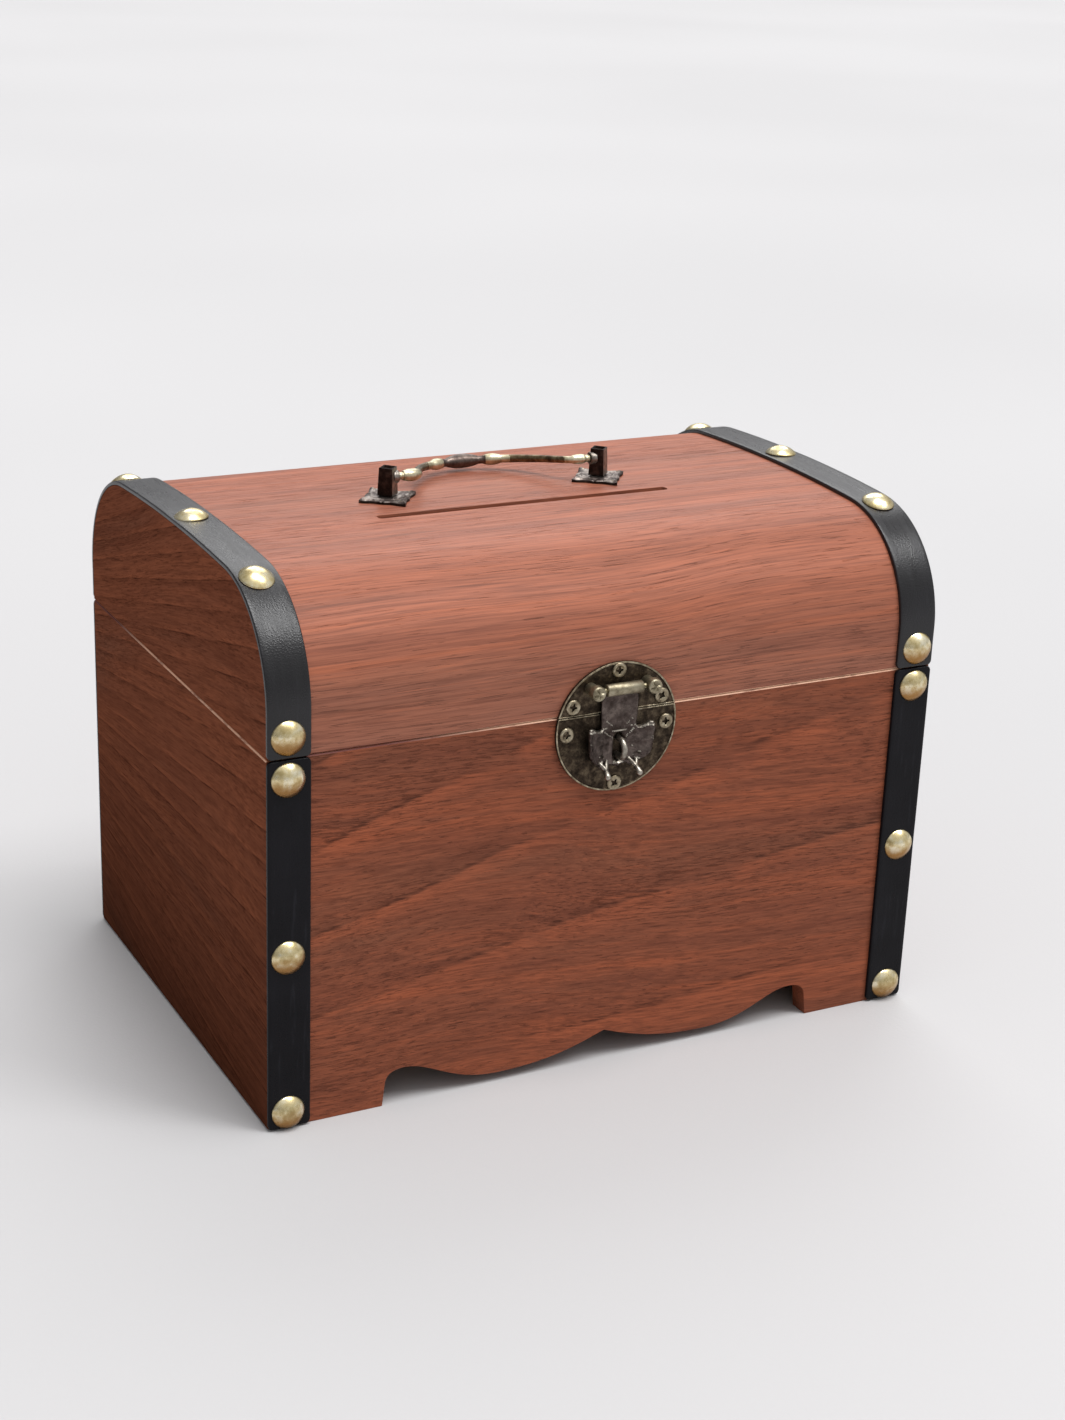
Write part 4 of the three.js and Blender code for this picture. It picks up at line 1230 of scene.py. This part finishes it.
def add_bail():
    left, right = middle("handle_left_post"), middle("handle_right_post")
    pivot = JOINT_AT["bail_pivot"]
    centre_x = (left.x + right.x) / 2
    inner_face = (right.x - left.x) / 2 - (box("handle_right_post")[1].x - right.x)
    grip_reach, grip_radius = 25.5, 3
    drop = pivot.z - LID_TOP + grip_reach**2 / (2 * CROWN_RADIUS) - grip_radius - 0.2
    tip = math.asin(drop / grip_reach)
    insets_and_reaches = ((1.6, 0), (7, 1.6), (11, 10), (17, 18.4), (24.5, 23.4))
    half = [(inner_face - inset, reach) for inset, reach in insets_and_reaches]
    marks = []
    for x, reach in [(-x, reach) for x, reach in half] + [(0, grip_reach)] + half[::-1]:
        marks.append(Vector((centre_x + x, pivot.y + reach * math.cos(tip), pivot.z - reach * math.sin(tip))))
    route = curve_through(marks, 16)
    end = half[0][0]
    bm = tube(route, lambda i: bail_radius(route[i].x - centre_x, end + 2), sides=20)
    paint(bm, 1, lambda at, normal: abs(at.x - centre_x) < 7.5)
    paint(bm, 2, lambda at, normal: 14.5 < abs(at.x - centre_x) < end - 6.5)
    parts = [bm]
    pin_start, pin_end = inner_face - 3.6, inner_face + 2.2
    ball_half = [(1.55, 0), (1.45, 0.6), (1.1, 1.2), (0.5, 1.5)]
    ball_profile = [(radius, -height) for radius, height in ball_half[:0:-1]] + ball_half
    for sign in (-1, 1):
        pin_x = centre_x + sign * (pin_start + pin_end) / 2
        parts.append(rod(1.2, pin_end - pin_start, pin_x, pivot, sides=20))
        ball_x = centre_x + sign * (inner_face - 2.5)
        parts.append(placed(lathe(ball_profile, sides=20), facing((ball_x, pivot.y, pivot.z), (1, 0, 0))))
    piece(joined(*parts), "handle_bail", ("brass", "grip", "dark_brass"), sharp=60)


def add_handle():
    for side, inward in (("left", 1), ("right", -1)):
        add_rosette(side)
        add_post(side, inward)
    add_bail()


# ---------------------------------------------------------------- rear hinges


def leaf_screw(x, z, face_y):
    head = lathe([(1.3, -0.1), (1.25, 0.12), (0.9, 0.2), (0.75, 0.05)], sides=18)
    return placed(head, facing((x, face_y, z), (0, 1, 0)), look=1)


def knuckle(length, x, axis):
    bore, radius, chamfer = 1.0, 2.0, 0.2
    half = length / 2
    low_end = [(bore, -half), (radius - chamfer, -half), (radius, -half + chamfer)]
    high_end = [(r, -z) for r, z in reversed(low_end)]
    return placed(lathe(low_end + high_end, sides=24), facing((x, axis.y, axis.z), (1, 0, 0)))


def add_hinge_leaf(side, part, towards, spans):
    """One leaf, with its knuckles over the spans of x; towards is 1 for the leaf above the pin, -1 below."""
    node = f"{side}_hinge_{part}_leaf"
    low, high = box(node)
    axis = JOINT_AT["lid_hinge"]
    centre_x = middle(node).x
    seat_y = BACK_Y + STRAP_GLUE
    leaf_thickness = 0.9
    face_y = seat_y + leaf_thickness

    def strip(start_x, end_x, one_z, other_z):
        bottom, top = sorted((one_z, other_z))
        return board(Vector((start_x, seat_y, bottom)), Vector((end_x, face_y, top)))

    pin_clearance, web_overlap = 2.3, 0.5
    near, far = axis.z + towards * pin_clearance, (high.z if towards > 0 else low.z)
    leaf = strip(low.x, high.x, near, far)
    soften(leaf, 1.0, segments=3, pick=lambda edge: abs((edge.verts[0].co - edge.verts[1].co).y) > 0.5)
    soften(leaf, 0.15)
    parts = [leaf]
    lift = towards * web_overlap
    for start, end in spans:
        parts.append(strip(centre_x + start, centre_x + end, axis.z + lift, near + lift))
        parts.append(knuckle(end - start, centre_x + (start + end) / 2, axis))
    screw_z = (near + far) / 2 + towards * 0.6
    for offset, rise in ((-8.6, 0), (0, 1.2), (8.6, 0)):
        parts.append(leaf_screw(centre_x + offset, screw_z + towards * rise, face_y))
    piece(joined(*parts), node, ("brass", "plate_rim"), sharp=35, weighted=True)


def add_rear_hinges():
    half, inner, gap = 12, 4, 0.3
    for side in ("left", "right"):
        add_hinge_leaf(side, "body", -1, [(-half, -inner - gap), (inner + gap, half)])
        add_hinge_leaf(side, "lid", 1, [(-inner, inner)])
        node = f"{side}_hinge_pin"
        pin = rod(0.85, 24.4, middle(node).x, JOINT_AT["lid_hinge"])
        piece(pin, node, ("dark_brass",))


# ---------------------------------------------------------------- floor, light and camera


def add_floor():
    size = 30000
    sheet = board(Vector((-size, -size, -20)), Vector((size, size, 0)))
    add_object(sheet, "floor", ("paper",))


def add_world():
    """Soft studio light from all round, brighter overhead than at the horizon."""
    world = bpy.data.worlds.new("studio")
    sky = Nodes(world)
    direction = sky.node("TexCoord", {}).outputs["Generated"]
    key_side = Vector((0.3, -0.3, 0.9)).normalized()
    height = sky.node("VectorMath", {0: direction, 1: key_side}, operation="DOT_PRODUCT").outputs["Value"]
    background = sky.tree.nodes["Background"]
    sky.feed(background.inputs["Color"], sky.ramp(height, (0.0, (0.3, 0.3, 0.31, 1)), (0.9, (1, 1, 1, 1))))
    sky.feed(background.inputs["Strength"], 0.8)
    bpy.context.scene.world = world


def add_sun(name, azimuth, elevation, strength, spread):
    data = bpy.data.lights.new(name, "SUN")
    data.energy = strength
    data.angle = math.radians(spread)
    sun = bpy.data.objects.new(name, data)
    az, el = math.radians(azimuth), math.radians(elevation)
    towards = Vector((math.sin(az) * math.cos(el), -math.cos(az) * math.cos(el), math.sin(el)))
    sun.rotation_euler = towards.to_track_quat("Z", "Y").to_euler()
    sun.location = towards
    bpy.context.scene.collection.objects.link(sun)


def add_camera():
    azimuth, elevation, roll = math.radians(-27.83), math.radians(20.31), math.radians(2.157)
    place = Vector((-0.3360, -0.6572, 0.3639))
    flat = math.cos(elevation)
    back = Vector((math.sin(azimuth) * flat, -math.cos(azimuth) * flat, math.sin(elevation)))
    level = Vector((0, 0, 1)).cross(back).normalized()
    up = back.cross(level)
    right_axis = math.cos(roll) * level + math.sin(roll) * up
    up_axis = math.cos(roll) * up - math.sin(roll) * level
    data = bpy.data.cameras.new("camera")
    data.lens = 60.78
    data.sensor_width = 36
    data.clip_start, data.clip_end = 0.01, 100
    camera = bpy.data.objects.new("camera", data)
    turn = Matrix((right_axis, up_axis, back)).transposed().to_4x4()
    camera.matrix_world = Matrix.Translation(place) @ turn
    bpy.context.scene.collection.objects.link(camera)
    bpy.context.scene.camera = camera


add_boards()
add_straps()
add_hasp()
add_handle()
add_rear_hinges()
add_floor()
add_world()
add_sun("key_light", azimuth=30, elevation=80, strength=1.9, spread=26)
add_sun("shoulder_light", azimuth=48, elevation=54, strength=0.95, spread=18)
add_sun("back_light", azimuth=152, elevation=40, strength=1.0, spread=44)
add_camera()
bpy.context.scene.view_settings.view_transform = "Standard"
